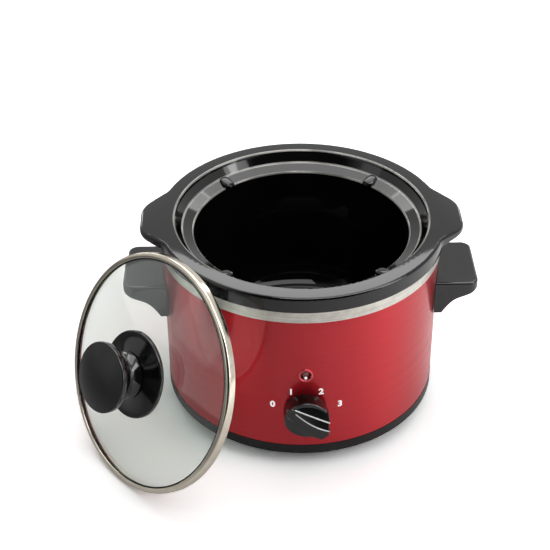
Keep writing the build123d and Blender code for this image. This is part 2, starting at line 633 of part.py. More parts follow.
# ================================================================ centre fixing and heat shield
def make_centre_stud():
    stud = rod(STUD_RADIUS, base_z - NUT_THICKNESS - 2.0, well_under_z - SKIN_GAP - 0.1)
    return stud + rod(STUD_FLANGE_RADIUS, well_under_z - SKIN_GAP - STUD_FLANGE, well_under_z - SKIN_GAP)


def make_heat_shield():
    low = shield_z
    shield = rod(shield_radius, low, low + SHIELD_THICKNESS)
    shield += tube(shield_radius, shield_radius - SHIELD_THICKNESS, low, low + SHIELD_LIP)
    shield -= rod(STUD_RADIUS + SCREW_GAP, low - 1, low + 2)
    for side, width in ((-1, SWITCH_WIDTH), (1, 2 * GLAND_RADIUS)):
        cut = Box(width + 2 * SHIELD_CUT_MARGIN, SHIELD_CUT_DEPTH, 4 * SHIELD_LIP)
        shield -= Pos(0, side * shield_radius, low) * cut
    return shield


def make_stud_nuts():
    nuts = []
    for low in (shield_nut_z, base_z - SKIN_GAP - NUT_THICKNESS):
        nut = Pos(0, 0, low) * hexagon(NUT_FLATS, NUT_THICKNESS)
        nuts.append(nut - rod(STUD_RADIUS + THREAD_GAP, low - 1, low + NUT_THICKNESS + 1))
    spacer_low = shield_z + SHIELD_THICKNESS + SKIN_GAP
    spacer_high = well_under_z - 2 * SKIN_GAP - STUD_FLANGE
    nuts.append(tube(NUT_FLATS / 2, STUD_RADIUS + THREAD_GAP, spacer_low, spacer_high))
    return Compound(children=nuts)


# ================================================================ wiring
fuse_z = well_under_z - SKIN_GAP - FUSE_RADIUS


def make_thermal_fuse():
    fuse = Pos(FUSE_X, 0, fuse_z) * Rot(90, 0, 0) * Cylinder(FUSE_RADIUS, FUSE_LENGTH)
    return fillet(fuse.edges().filter_by(GeomType.CIRCLE), 0.5)


def make_fuse_clip():
    """Spring-steel saddle that presses the fuse against the well."""
    inner = FUSE_RADIUS + SKIN_GAP
    outer = inner + SHIELD_THICKNESS
    floor = well_under_z - SKIN_GAP
    saddle = Circle(outer) - Circle(inner) - Pos(0, outer) * Rectangle(4 * outer, 2 * outer)
    rise = floor - fuse_z
    wall = Pos(inner + SHIELD_THICKNESS / 2, rise / 2) * Rectangle(SHIELD_THICKNESS, rise)
    foot_width = 6.0
    foot = Pos(inner + foot_width / 2, rise - SHIELD_THICKNESS / 2) * Rectangle(foot_width, SHIELD_THICKNESS)
    profile = saddle + wall + mirror(wall, Plane.YZ) + foot + mirror(foot, Plane.YZ)
    clip = extrude(Rot(90, 0, 0) * profile, FUSE_LENGTH / 4, both=True)
    return Pos(FUSE_X, 0, fuse_z) * clip


def make_cord_gland():
    seat = body_radius + SEAM_THICKNESS
    tip = seat + GLAND_FLANGE + GLAND_PROUD
    gland = rod(GLAND_RADIUS, shell_inner - GLAND_INSIDE, seat + GLAND_FLANGE)
    gland += rod(GLAND_RADIUS + GLAND_FLANGE, seat + SEAT_GAP, seat + SEAT_GAP + GLAND_FLANGE)
    snout = Pos(0, 0, seat + GLAND_FLANGE) * Cone(GLAND_RADIUS - 0.6, GLAND_BORE + 1.4, GLAND_PROUD, align=LOW)
    gland += snout
    gland += tube(GLAND_RADIUS + GLAND_COLLAR, GLAND_RADIUS - 1, shell_inner - 3.0, shell_inner - 1.0)
    gland -= rod(GLAND_BORE, 0, tip + 1)
    gland -= rod(GLAND_BORE + GLAND_FUNNEL, 0, tip - GLAND_GRIP)
    return radial(90, gland_z) * gland


def make_terminal_block():
    block = Pos(BLOCK_X, BLOCK_Y, base_floor_top + SEAT_GAP)
    body = fillet(Box(BLOCK_LENGTH, BLOCK_WIDTH, BLOCK_HEIGHT, align=LOW).edges().filter_by(Axis.Z), 1.5)
    for x in (-BLOCK_LENGTH / 4, BLOCK_LENGTH / 4):
        body -= Pos(x, 0, BLOCK_HEIGHT - 3.0) * Cylinder(1.9, 3.1, align=LOW)
        body -= Pos(x, 0, 2.6) * Rot(90, 0, 0) * Cylinder(WIRE_RADIUS + SCREW_GAP, BLOCK_WIDTH + 2)
    return block * body


def make_terminal_screws():
    screws = []
    for x in (-BLOCK_LENGTH / 4, BLOCK_LENGTH / 4):
        screw = Cylinder(1.7, 1.6, align=LOW) - Pos(0, 0, 1.1) * Box(3.0, 0.6, 1.2)
        top = base_floor_top + SEAT_GAP + BLOCK_HEIGHT - 3.0 + SKIN_GAP
        screws.append(Pos(BLOCK_X + x, BLOCK_Y, top) * screw)
    return Compound(children=screws)


def wire(points):
    """Insulated wire of straight runs joined by tangent bends."""
    path = FilletPolyline(*points, radius=WIRE_BEND)
    return sweep(Plane(path @ 0, z_dir=path % 0) * Circle(WIRE_RADIUS), path)


wire_z = base_floor_top + SEAT_GAP + WIRE_FLOOR_GAP
gland_mouth = shell_inner - GLAND_INSIDE - SEAT_GAP
drop_y = gland_mouth - WIRE_DROP
tag_x = SWITCH_WIDTH / 4
tag_y = -(shell_inner - 0.9 - SWITCH_DEPTH / 2)
tag_z = CONTROL_Z - SWITCH_HEIGHT / 2 - TAG_LENGTH


def on_wire_circle(angle):
    """Point on the live wire's way round the base."""
    return WIRE_CIRCLE * math.cos(math.radians(angle)), WIRE_CIRCLE * math.sin(math.radians(angle)), wire_z


def heater_end(angle):
    """Foot of the heater band where a wire joins it, in plan."""
    reach = well_outer_radius(heater_low_z) + 2 * SKIN_GAP + WIRE_RADIUS
    return reach * math.cos(math.radians(angle)), reach * math.sin(math.radians(angle))


def make_supply_live_wire():
    """From the gland, under the shield, to the switch."""
    x = 1.5 * WIRE_RADIUS
    return wire([
        (x, gland_mouth, gland_z), (x, drop_y, gland_z), (x, drop_y, wire_z), on_wire_circle(55),
        on_wire_circle(0), on_wire_circle(-60), (tag_x, tag_y, wire_z), (tag_x, tag_y, tag_z - SEAT_GAP),
    ])


def make_supply_neutral_wire():
    """From the gland to the terminal block."""
    x = -1.5 * WIRE_RADIUS
    pin_x = BLOCK_X + BLOCK_LENGTH / 4
    return wire([
        (x, gland_mouth, gland_z), (x, drop_y, gland_z), (x, drop_y, wire_z),
        (pin_x, drop_y - BLOCK_WIDTH, wire_z), (pin_x, BLOCK_Y + BLOCK_WIDTH / 4, wire_z),
    ])


def make_heater_return_wire():
    """From the terminal block up to the heater band's end."""
    x, y = heater_end(90 + HEATER_OPENING / 2 + 6)
    pin_x = BLOCK_X - BLOCK_LENGTH / 4
    riser_y = y + 9.5
    return wire([
        (pin_x, BLOCK_Y + BLOCK_WIDTH / 4, wire_z), (pin_x, BLOCK_Y + 2 * BLOCK_WIDTH, wire_z),
        (x, riser_y, wire_z + 1),
        (x, riser_y, heater_low_z - 36), (x, y, heater_low_z - 18), (x, y, heater_low_z - SEAT_GAP),
    ])


def make_heater_feed_wire():
    """From the switch's second tag round to the heater band's front."""
    x, y = heater_end(-90 - 24)
    low = tag_z - 9
    return wire([
        (-tag_x, tag_y, tag_z - SEAT_GAP), (-tag_x, tag_y, low), (x, y * 1.06, low + 2),
        (x, y, heater_low_z - 18), (x, y, heater_low_z - SEAT_GAP),
    ])


# ================================================================ lid
def glass_height(radius):
    """Height of the glass's outer face above the rim's mid plane."""
    return glass_top_z - glass_sphere + math.sqrt(glass_sphere**2 - radius**2)


def make_lid_glass():
    edge_z = glass_height(glass_radius)
    mid = glass_radius / 2
    glass = turned(
        ThreePointArc((0, glass_top_z), (mid, glass_height(mid)), (glass_radius, edge_z)),
        Line((glass_radius, edge_z), (glass_radius, edge_z - GLASS_THICKNESS)),
        ThreePointArc(
            (glass_radius, edge_z - GLASS_THICKNESS), (mid, glass_height(mid) - GLASS_THICKNESS),
            (0, glass_top_z - GLASS_THICKNESS),
        ),
        Line((0, glass_top_z - GLASS_THICKNESS), (0, glass_top_z)),
    )
    glass = fillet(glass.edges().filter_by(lambda e: e.center().Z < glass_top_z - 5), 1.2)
    return glass - rod(LID_SCREW_RADIUS + SCREW_GAP, 0, 2 * glass_top_z)


def make_lid_rim():
    """Rolled steel channel round the edge of the glass."""
    leg = steel_grip
    t = RIM_THICKNESS
    edge = lid_radius
    outer = turned_polygon(
        (leg, glass_height(leg) + SKIN_GAP + t), (edge - 1.6, RIM_ABOVE + 0.5), (edge - 0.5, RIM_ABOVE - 0.4),
        (edge, RIM_ABOVE - 1.6), (edge, 1.2 - RIM_BELOW), (edge - 1.0, -RIM_BELOW), (leg, -RIM_BELOW),
    )
    inner = turned_polygon(
        (leg - 1, glass_height(leg - 1) + SKIN_GAP), (leg, glass_height(leg) + SKIN_GAP),
        (edge - t, glass_height(glass_radius) + SKIN_GAP), (edge - t, t - RIM_BELOW), (leg - 1, t - RIM_BELOW),
    )
    return outer - inner


def make_lid_collar():
    """Heat collar that sits on the glass under the knob."""
    edge = glass_height(COLLAR_RADIUS) + SEAT_GAP
    top = edge + COLLAR_EDGE
    bore = LID_SCREW_RADIUS + SCREW_GAP
    middle = (COLLAR_DISH_RADIUS, glass_height(COLLAR_DISH_RADIUS) + SEAT_GAP)
    return turned(
        Line((bore, glass_top_z + SEAT_GAP), middle),
        Line(middle, (COLLAR_RADIUS - 1, edge)),
        Line((COLLAR_RADIUS - 1, edge), (COLLAR_RADIUS, edge + 1)),
        Line((COLLAR_RADIUS, edge + 1), (COLLAR_RADIUS, top - 1)),
        RadiusArc((COLLAR_RADIUS, top - 1), (COLLAR_RADIUS - 1, top), -1.0),
        Line((COLLAR_RADIUS - 1, top), (COLLAR_RADIUS - 3.2, top)),
        ThreePointArc((COLLAR_RADIUS - 3.2, top), (22.5, top + 0.4), (COLLAR_DISH_RADIUS, COLLAR_DISH_Z)),
        Line((COLLAR_DISH_RADIUS, COLLAR_DISH_Z), (bore, COLLAR_DISH_Z)),
        Line((bore, COLLAR_DISH_Z), (bore, glass_top_z + SEAT_GAP)),
    )


def make_lid_knob():
    foot = COLLAR_DISH_Z + SKIN_GAP
    cap_low = CAP_LOW_Z
    cap_edge = cap_low + CAP_EDGE
    dome_radius = CAP_RADIUS - 3.4
    dome_low = cap_edge + 1.6
    dome_top = cap_edge + CAP_DOME
    dome_sphere = (dome_radius**2 + (dome_top - dome_low)**2) / (2 * (dome_top - dome_low))
    dome_mid = dome_top - dome_sphere + math.sqrt(dome_sphere**2 - dome_radius**2 / 4)
    neck = (NECK_RADIUS, NECK_Z)
    under = (CAP_RADIUS - 5.4, cap_low)
    side_low = (CAP_RADIUS, cap_low + 3.2)
    side_high = (CAP_RADIUS - 0.2, cap_edge - 1.2)
    shoulder = (dome_radius, dome_low)
    knob = turned(
        Line((0, foot), (COLLAR_DISH_RADIUS - 0.4, foot)),
        ThreePointArc((COLLAR_DISH_RADIUS - 0.4, foot), (NECK_RADIUS + 0.3, NECK_Z - 4), neck),
        ThreePointArc(neck, (NECK_RADIUS + 1.7, NECK_Z + 4.6), under),
        ThreePointArc(under, (CAP_RADIUS - 1.2, cap_low + 1.3), side_low),
        Line(side_low, side_high),
        ThreePointArc(side_high, (CAP_RADIUS - 1.2, cap_edge + 0.6), shoulder),
        ThreePointArc(shoulder, (dome_radius / 2, dome_mid), (0, dome_top)),
        Line((0, dome_top), (0, foot)),
    )
    return knob - rod(LID_SCREW_RADIUS + THREAD_GAP, foot - 1, lid_screw_tip + 1.5)


washer_top = glass_top_z - GLASS_THICKNESS - SEAT_GAP - 0.3
lid_screw_seat = washer_top - LID_WASHER_THICKNESS - SKIN_GAP
lid_screw_tip = lid_screw_seat + LID_SCREW_LENGTH


def make_lid_washer():
    return tube(LID_WASHER_RADIUS, LID_SCREW_RADIUS + SCREW_GAP, washer_top - LID_WASHER_THICKNESS, washer_top)


def make_lid_screw():
    head = rod(LID_SCREW_HEAD, lid_screw_seat - LID_SCREW_HEAD_HEIGHT, lid_screw_seat)
    head = fillet(head.edges().group_by(Axis.Z)[0], 0.9)
    screw = head + rod(LID_SCREW_RADIUS, lid_screw_seat - 0.1, lid_screw_tip)
    for turn in (0, 90):
        screw -= Pos(0, 0, lid_screw_seat - LID_SCREW_HEAD_HEIGHT) * Rot(0, 0, turn) * Box(5.0, 1.0, 2.4)
    return screw


def under_lid(radius):
    """Height of the lid's underside above its mid plane: the glass, or the rim's channel."""
    if radius > steel_grip - 0.5:
        return -RIM_BELOW
    return glass_height(radius) - GLASS_THICKNESS


def leaning_profile():
    """What a lid can lean on, as radius and height: the crock's rounded edge, its side, and the drum."""
    bends = [math.radians(step) for step in range(0, 91, 10)]
    middle = (crock_rim_radius - CROCK_RIM_ROUND, rim_edge_z - CROCK_RIM_ROUND)
    edge = [
        (middle[0] + CROCK_RIM_ROUND * math.cos(bend), middle[1] + CROCK_RIM_ROUND * math.sin(bend))
        for bend in bends
    ]
    side = [(crock_rim_radius, crock_under_rim_z + CROCK_RIM_HEIGHT * share / 10) for share in range(1, 8)]
    drum = [(band_outer, BODY_TOP * share / 80) for share in range(20, 81)]
    return edge + side + drum


def lean_clearance(out):
    """Least gap between the crock or drum and the underside of a lid placed that far out."""
    tilt = math.radians(LID_TILT)
    normal = (math.cos(tilt), math.sin(tilt))
    centre = (out, lid_centre_z)
    least = 1e9
    for bearing in range(-60, 61, 2):
        turn = math.radians(bearing)
        for r, z in leaning_profile():
            ahead = r * math.cos(turn) - centre[0]
            across = r * math.sin(turn)
            up = z - centre[1]
            along = ahead * normal[0] + up * normal[1]
            in_plane = math.hypot(across, up * normal[0] - ahead * normal[1])
            if in_plane < lid_radius:
                least = min(least, under_lid(in_plane) - along)
    return least


lid_tilt = math.radians(LID_TILT)
lid_centre_z = SEAT_GAP + lid_radius * math.cos(lid_tilt) + (RIM_BELOW - 1.2) * math.sin(lid_tilt)
lid_centre_out = crock_rim_radius + lid_radius / 2
for _ in range(6):
    lid_centre_out += (SEAT_GAP - lean_clearance(lid_centre_out)) / math.cos(lid_tilt)
LEANING = Rot(0, 0, LID_BEARING) * Pos(lid_centre_out, 0, lid_centre_z) * Rot(0, 90 - LID_TILT, 0)


# ================================================================ assembly
keep("base_pan", make_base_pan())
keep("rubber_pads", make_rubber_pads())
keep("housing_shell", make_housing_shell())
keep("heating_well", make_heating_well())
keep("crock", make_crock())
right_handle = make_handle()
keep("handle_right", right_handle)
keep("handle_left", Rot(0, 0, 180) * right_handle)
keep("handle_screws", make_handle_screws())
keep("control_knob", make_control_knob())
keep("switch_shaft", make_switch_shaft())
keep("switch_body", make_switch_body())
keep("switch_nut", make_switch_nut())
keep("indicator_lens", make_indicator_lens())
keep("neon_lamp", make_neon_lamp())
keep("lamp_clip", make_lamp_clip())
keep("heater_band", make_heater_band())
keep("heater_strap", make_heater_strap())
keep("strap_bolt", make_strap_bolt())
keep("centre_stud", make_centre_stud())
keep("heat_shield", make_heat_shield())
keep("stud_nuts", make_stud_nuts())
keep("thermal_fuse", make_thermal_fuse())
keep("fuse_clip", make_fuse_clip())
keep("cord_gland", make_cord_gland())
keep("terminal_block", make_terminal_block())
keep("terminal_screws", make_terminal_screws())
keep("supply_live_wire", make_supply_live_wire())
keep("supply_neutral_wire", make_supply_neutral_wire())
keep("heater_return_wire", make_heater_return_wire())
keep("heater_feed_wire", make_heater_feed_wire())
keep("lid_glass", LEANING * make_lid_glass())
keep("lid_rim", LEANING * make_lid_rim())
keep("lid_collar", LEANING * make_lid_collar())
keep("lid_knob", LEANING * make_lid_knob())
keep("lid_washer", LEANING * make_lid_washer())
keep("lid_screw", LEANING * make_lid_screw())

for name, shape in nodes.items():
    export_step(shape, f"parts/{name}.step")
print(f"{len(nodes)} nodes; lid centre {lid_centre_out:.2f} mm out at Z {lid_centre_z:.2f} mm")
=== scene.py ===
# %% [markdown]
# # A small round slow cooker
# The cooker comes from the CAD model as separate solids that already sit where they belong. This file
# gives them their finishes, adds what is printed, pressed or rolled on them, and sets the light and the
# camera. Everything is in metres: +Z is up, the cooker's front looks along -Y, and Z = 0 is the table.

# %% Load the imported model
import json
from math import atan2, cos, degrees, hypot, pi, radians, sin, sqrt

import bmesh
import bpy
from mathutils import Matrix, Vector

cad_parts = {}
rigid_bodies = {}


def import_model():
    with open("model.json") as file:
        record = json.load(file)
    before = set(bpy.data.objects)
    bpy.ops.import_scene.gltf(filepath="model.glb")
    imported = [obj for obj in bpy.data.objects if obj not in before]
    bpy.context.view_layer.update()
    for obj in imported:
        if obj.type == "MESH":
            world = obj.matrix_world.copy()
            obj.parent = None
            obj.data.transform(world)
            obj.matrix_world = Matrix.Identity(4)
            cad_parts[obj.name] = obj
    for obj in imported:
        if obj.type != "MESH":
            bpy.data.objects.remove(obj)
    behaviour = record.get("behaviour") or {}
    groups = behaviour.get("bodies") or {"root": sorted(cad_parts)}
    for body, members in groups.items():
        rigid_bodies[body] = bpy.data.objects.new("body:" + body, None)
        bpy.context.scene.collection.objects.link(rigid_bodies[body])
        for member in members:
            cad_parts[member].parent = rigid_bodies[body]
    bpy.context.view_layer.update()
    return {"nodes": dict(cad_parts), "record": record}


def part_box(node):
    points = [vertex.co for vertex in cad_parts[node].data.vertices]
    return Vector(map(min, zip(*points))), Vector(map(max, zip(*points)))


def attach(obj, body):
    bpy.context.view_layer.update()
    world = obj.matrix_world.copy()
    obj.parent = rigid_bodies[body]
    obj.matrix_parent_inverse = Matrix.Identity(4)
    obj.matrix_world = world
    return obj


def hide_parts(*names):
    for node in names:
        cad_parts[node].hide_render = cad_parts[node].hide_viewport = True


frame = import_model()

MM = 0.001
nodes = frame["nodes"]

# %% [markdown]
# ## Two helpers for materials
# A procedural material is a small graph of nodes. Writing each node out in full takes four lines, so
# one function adds a node of any kind, sets its options and fills its sockets, either with a plain
# value or with a wire from another node. Colours are written as the hex values that a paint chart would
# give, and one function turns them into the linear numbers that the renderer works in.

# %% Colours and nodes
def linear(hex_colour):
    """An sRGB hex colour as linear red, green, blue and alpha."""
    channels = [int(hex_colour[i:i + 2], 16) / 255 for i in (1, 3, 5)]
    return tuple(c / 12.92 if c <= 0.04045 else ((c + 0.055) / 1.055) ** 2.4 for c in channels) + (1.0,)


def add(tree, kind, sockets=None, **options):
    """Add a node; sockets maps an input's name or number to a value or to another node's output."""
    node = tree.nodes.new("ShaderNode" + kind)
    for option, value in options.items():
        setattr(node, option, value)
    for socket, value in (sockets or {}).items():
        if isinstance(value, bpy.types.NodeSocket):
            tree.links.new(value, node.inputs[socket])
        else:
            node.inputs[socket].default_value = value
    return node


def new_material(name):
    """An empty node material and its tree."""
    material = bpy.data.materials.new(name)
    material.use_nodes = True
    material.node_tree.nodes.clear()
    return material, material.node_tree


def wire_surface(tree, shader):
    """Wire a shader to the material's output."""
    add(tree, "OutputMaterial", {"Surface": shader.outputs[0]})


finishes = {}
print("sRGB mid grey in linear light:", round(linear("#808080")[0], 3))

# %% [markdown]
# ## Camera
# The cooker is seen from a little above, as it stands on a table in front of someone. A long lens keeps
# the round rims calm. The camera is turned by three plain angles and not aimed at a point, because a
# level camera with a known pitch keeps upright things upright.

# %% Place the camera
CAMERA_PLACE = Vector((-0.0339, -0.8094, 0.6676))
CAMERA_YAW = radians(1.115)       # to the right of straight ahead
CAMERA_PITCH = radians(35.26)     # down
CAMERA_ROLL = radians(-0.1735)
LENS_MM = 92.24
SENSOR_MM = 36

forward = Vector((
    sin(CAMERA_YAW) * cos(CAMERA_PITCH), cos(CAMERA_YAW) * cos(CAMERA_PITCH), -sin(CAMERA_PITCH),
))
level_right = Vector((cos(CAMERA_YAW), -sin(CAMERA_YAW), 0))
level_up = level_right.cross(forward)
right = cos(CAMERA_ROLL) * level_right + sin(CAMERA_ROLL) * level_up
up = -sin(CAMERA_ROLL) * level_right + cos(CAMERA_ROLL) * level_up

camera_data = bpy.data.cameras.new("camera")
camera_data.lens = LENS_MM
camera_data.sensor_width = SENSOR_MM
camera = bpy.data.objects.new("camera", camera_data)
camera.matrix_world = Matrix((right, up, -forward)).transposed().to_4x4()
camera.location = CAMERA_PLACE
bpy.context.scene.collection.objects.link(camera)
bpy.context.scene.camera = camera
print("camera is", round(CAMERA_PLACE.length, 3), "m from the cooker's foot")

# %% [markdown]
# ## Floor
# The floor is a large sheet of white paper, and far from the cooker it turns into a lit backdrop. What
# the camera sees of it, directly or through the glass, is lifted, as the background light in a studio
# does it, so the open floor reads as white while the shadow under the cooker stays on it. The cooker's
# upright sides mirror this floor too. There it is dim on the left and bright on the right, on the side
# of the large lamp, which gives the drum its dark and its pale flank. A ray that passes through glass
# counts as a glossy ray as well, so what is mirrored is what is glossy and not transmitted.

# %% Lay the floor
FLOOR_HALF = 6.0                           # m

mesh = bpy.data.meshes.new("floor")
mesh.from_pydata([(x, y, 0) for x, y in ((-1, -1), (1, -1), (1, 1), (-1, 1))], [], [(0, 1, 2, 3)])
mesh.transform(Matrix.Scale(FLOOR_HALF, 4))
floor = bpy.data.objects.new("floor", mesh)
bpy.context.scene.collection.objects.link(floor)
print("floor reaches", FLOOR_HALF, "m each way")

# %% Paper, lifted for the camera
FLOOR_WHITE = "#f2f2f2"
FLOOR_LIFT = 0.9                           # added for what the camera sees
GLASS_LIFT = 0.45                          # added for what it sees through the lid's glass
MIRRORED_LEFT, MIRRORED_RIGHT = 0.3, 1.5   # the floor in a reflection
MIRRORED_REACH = 0.4                       # how far to each side that change goes, m

material, tree = new_material("studio_paper")
place = add(tree, "TexCoord").outputs["Object"]
path = add(tree, "LightPath")
lift = add(tree, "Math", {
    0: path.outputs["Is Transmission Ray"], 1: GLASS_LIFT, 2: 1.0,
}, operation="MULTIPLY_ADD")
lift = add(tree, "Math", {
    0: path.outputs["Is Camera Ray"], 1: FLOOR_LIFT, 2: lift.outputs[0],
}, operation="MULTIPLY_ADD")
across = add(tree, "SeparateXYZ", {0: place})
slant = add(tree, "MapRange", {
    "Value": across.outputs["X"], "From Min": -MIRRORED_REACH, "From Max": MIRRORED_REACH,
    "To Min": MIRRORED_LEFT, "To Max": MIRRORED_RIGHT,
})
mirrored = add(tree, "Math", {
    0: path.outputs["Is Glossy Ray"], 1: path.outputs["Is Transmission Ray"],
}, operation="SUBTRACT", use_clamp=True)
gloss = add(tree, "Mix", {0: mirrored.outputs[0], 2: 1.0, 3: slant.outputs[0]})
level = add(tree, "Math", {0: lift.outputs[0], 1: gloss.outputs[0]}, operation="MULTIPLY")
white = add(tree, "Mix", {
    0: 1.0, 6: linear(FLOOR_WHITE), 7: level.outputs[0],
}, data_type="RGBA", blend_type="MULTIPLY")
paper = add(tree, "BsdfDiffuse", {"Color": white.outputs[2]})
print("paper", FLOOR_WHITE)

# %% Backdrop
BACKDROP_NEAR, BACKDROP_FAR = 0.45, 1.1    # where the sheet turns into the backdrop, m

away = add(tree, "VectorMath", {0: place}, operation="LENGTH")
distant = add(tree, "MapRange", {
    "Value": away.outputs["Value"], "From Min": BACKDROP_NEAR, "From Max": BACKDROP_FAR,
}, interpolation_type="SMOOTHSTEP")
seen_far = add(tree, "Math", {
    0: distant.outputs[0], 1: path.outputs["Is Camera Ray"],
}, operation="MULTIPLY")
backdrop = add(tree, "Emission", {"Color": (1, 1, 1, 1)})
sweep = add(tree, "MixShader", {0: seen_far.outputs[0], 1: paper.outputs[0], 2: backdrop.outputs[0]})
wire_surface(tree, sweep)
floor.data.materials.append(material)
print("backdrop from", BACKDROP_FAR, "m outwards")

# %% [markdown]
# ## Light
# Glazed and polished things show the room, so the room is kept simple: a long soft box overhead and a
# little behind, a tall one on the right, a weak one on the left, two narrow strips behind, and pale
# walls. The room behind the camera is left unlit. That is what makes black glaze look black: faces
# turned to the camera mirror the unlit side, and only rounded edges catch the lamps, as thin lines.
#
# Two panels are there for reflections alone. The apron hangs low behind the cooker, and the front of
# the crock's flat rim mirrors it as a soft grey band. The edge panel hangs over the front, for ridges
# and edges. The front fill is the other way round: it gives light, and nothing mirrors it.

# %% Walls of the room
ROOM_LIGHT = 0.25          # of the pale walls, as a light
ROOM_GLOSS = 0.7           # of the pale walls, in a reflection
UNLIT_GLOSS = 0.02         # of the unlit side, in a reflection
UNLIT_SIDE = Vector((0.0, -0.84, 0.54))
UNLIT_FULL = cos(radians(36))
UNLIT_NONE = cos(radians(58))
LEFT_WALL = 0.8            # the left wall against the others
LEFT_FROM, LEFT_TO = -0.9, -0.2

world = bpy.data.worlds.new("studio")
world.use_nodes = True
world.node_tree.nodes.clear()
tree = world.node_tree
path = add(tree, "LightPath")
seen = add(tree, "Math", {
    0: path.outputs["Is Camera Ray"], 1: path.outputs["Is Transmission Ray"],
}, operation="MAXIMUM")
direction = add(tree, "TexCoord").outputs["Generated"]
towards = add(tree, "VectorMath", {0: direction, 1: UNLIT_SIDE}, operation="DOT_PRODUCT")
wall = add(tree, "MapRange", {
    "Value": towards.outputs["Value"], "From Min": UNLIT_NONE, "From Max": UNLIT_FULL,
    "To Min": ROOM_GLOSS, "To Max": UNLIT_GLOSS,
}, interpolation_type="SMOOTHSTEP")
side = add(tree, "SeparateXYZ", {0: direction})
left = add(tree, "MapRange", {
    "Value": side.outputs["X"], "From Min": LEFT_FROM, "From Max": LEFT_TO, "To Min": LEFT_WALL,
})
mirrored = add(tree, "Math", {0: wall.outputs[0], 1: left.outputs[0]}, operation="MULTIPLY")
level = add(tree, "Mix", {0: path.outputs["Is Glossy Ray"], 2: ROOM_LIGHT, 3: mirrored.outputs[0]})
level = add(tree, "Mix", {0: seen.outputs[0], 2: level.outputs[0], 3: 1.0})
sky = add(tree, "Background", {"Color": (1, 1, 1, 1), "Strength": level.outputs[0]})
add(tree, "OutputWorld", {"Surface": sky.outputs[0]})
bpy.context.scene.world = world
print("walls give", ROOM_LIGHT, "and mirror as", ROOM_GLOSS)

# %% Lamps
LAMPS_AIM = Vector((0, 0, 0.08))


def soft_box(name, bearing, height, distance, width, depth, brightness):
    """A rectangular lamp of that radiance, at a bearing and height in degrees, aimed at the cooker."""
    lamp = bpy.data.lights.new(name, "AREA")
    lamp.shape = "RECTANGLE"
    lamp.size, lamp.size_y = width, depth
    lamp.energy = brightness * pi * width * depth
    box = bpy.data.objects.new(name, lamp)
    bearing, height = radians(bearing), radians(height)
    outwards = Vector((cos(height) * cos(bearing), cos(height) * sin(bearing), sin(height)))
    box.location = LAMPS_AIM + distance * outwards
    box.rotation_euler = (LAMPS_AIM - box.location).to_track_quat("-Z", "Y").to_euler()
    bpy.context.scene.collection.objects.link(box)
    return box


soft_box("overhead_box", 90, 68, 1.6, 1.7, 0.98, 2.3)
soft_box("right_box", -22, 24, 1.55, 0.55, 1.1, 2.5)
soft_box("left_box", 195, 26, 1.6, 0.5, 0.9, 0.4)
edge_panel = soft_box("edge_panel", 0, 90, 1.6, 2.3, 0.55, 5.0)
edge_panel.location, edge_panel.rotation_euler = (0.85, -0.47, 1.6), (0, 0, 0)
apron = soft_box("overhead_apron", 90, 46, 1.6, 1.7, 0.34, 3.3)
for panel in (edge_panel, apron):
    panel.visible_diffuse = panel.visible_transmission = False
soft_box("back_left_strip", 122, 16, 1.7, 0.16, 0.7, 4.0)
soft_box("back_right_strip", 58, 16, 1.7, 0.16, 0.7, 4.0)
fill = soft_box("front_fill", -66, 58, 1.6, 1.5, 1.2, 1.5)
fill.visible_glossy = False

bpy.context.scene.view_settings.view_transform = "Standard"
print("lamps:", ", ".join(lamp.name for lamp in bpy.data.lights))

# %% [markdown]
# ## Moulded plastic
# The base, the handles, the heat control and the lid's knob are moulded, each with a skin of its own.
# What tells a moulding from a painted stand-in is that its colour and gloss drift a little, and that
# the surface has a faint orange peel or spark texture from the tool. One function builds that skin, and
# each moulding calls it with its plastic's colour, gloss and grain in millimetres.

# %% The skin of a moulding
DRIFT_MM = 30              # how far apart a moulding's darker and paler places lie


def moulded_skin(name, dark, light, roughness, grain_mm, relief_mm, index):
    """A moulded plastic whose colour drifts slowly and whose gloss and surface follow its grain."""
    material, tree = new_material(name)
    place = add(tree, "TexCoord").outputs["Object"]
    drift = add(tree, "TexNoise", {"Vector": place, "Scale": 1 / (DRIFT_MM * MM), "Detail": 2.0})
    grain = add(tree, "TexNoise", {
        "Vector": place, "Scale": 1 / (grain_mm * MM), "Detail": 2.0, "Roughness": 0.6,
    })
    colour = add(tree, "Mix", {
        0: drift.outputs[0], 6: linear(dark), 7: linear(light),
    }, data_type="RGBA")
    rough = add(tree, "MapRange", {
        "Value": grain.outputs[0], "From Min": 0.3, "From Max": 0.7,
        "To Min": roughness * 0.85, "To Max": roughness * 1.15,
    })
    skin = add(tree, "Bump", {"Height": grain.outputs[0], "Distance": relief_mm * MM, "Strength": 1.0})
    shader = add(tree, "BsdfPrincipled", {
        "Base Color": colour.outputs[2], "Roughness": rough.outputs[0], "IOR": index,
        "Normal": skin.outputs[0],
    })
    wire_surface(tree, shader)
    return material


# Polypropylene with a fine spark texture: dull, so the base stays the darkest, quietest ring.
finishes["base_plastic"] = moulded_skin(
    "black_polypropylene", "#0b0b0c", "#101011", 0.36, 0.7, 0.012, 1.38)
# Phenolic is pressed hot in a polished tool: near black, hard, with sharp reflections.
finishes["handle_plastic"] = moulded_skin(
    "polished_phenolic", "#09090a", "#0f0f10", 0.10, 6.0, 0.004, 1.62)
# Nitrile rubber, matt and slightly grey where it is dusted with talc.
finishes["foot_rubber"] = moulded_skin("nitrile_rubber", "#141414", "#1d1d1c", 0.75, 0.9, 0.02, 1.52)
# Nylon of the switch's case, ivory, a little waxy.
finishes["switch_plastic"] = moulded_skin("ivory_nylon", "#c4bca4", "#d2cbb6", 0.45, 1.2, 0.01, 1.53)
print(len(finishes), "moulded finishes")

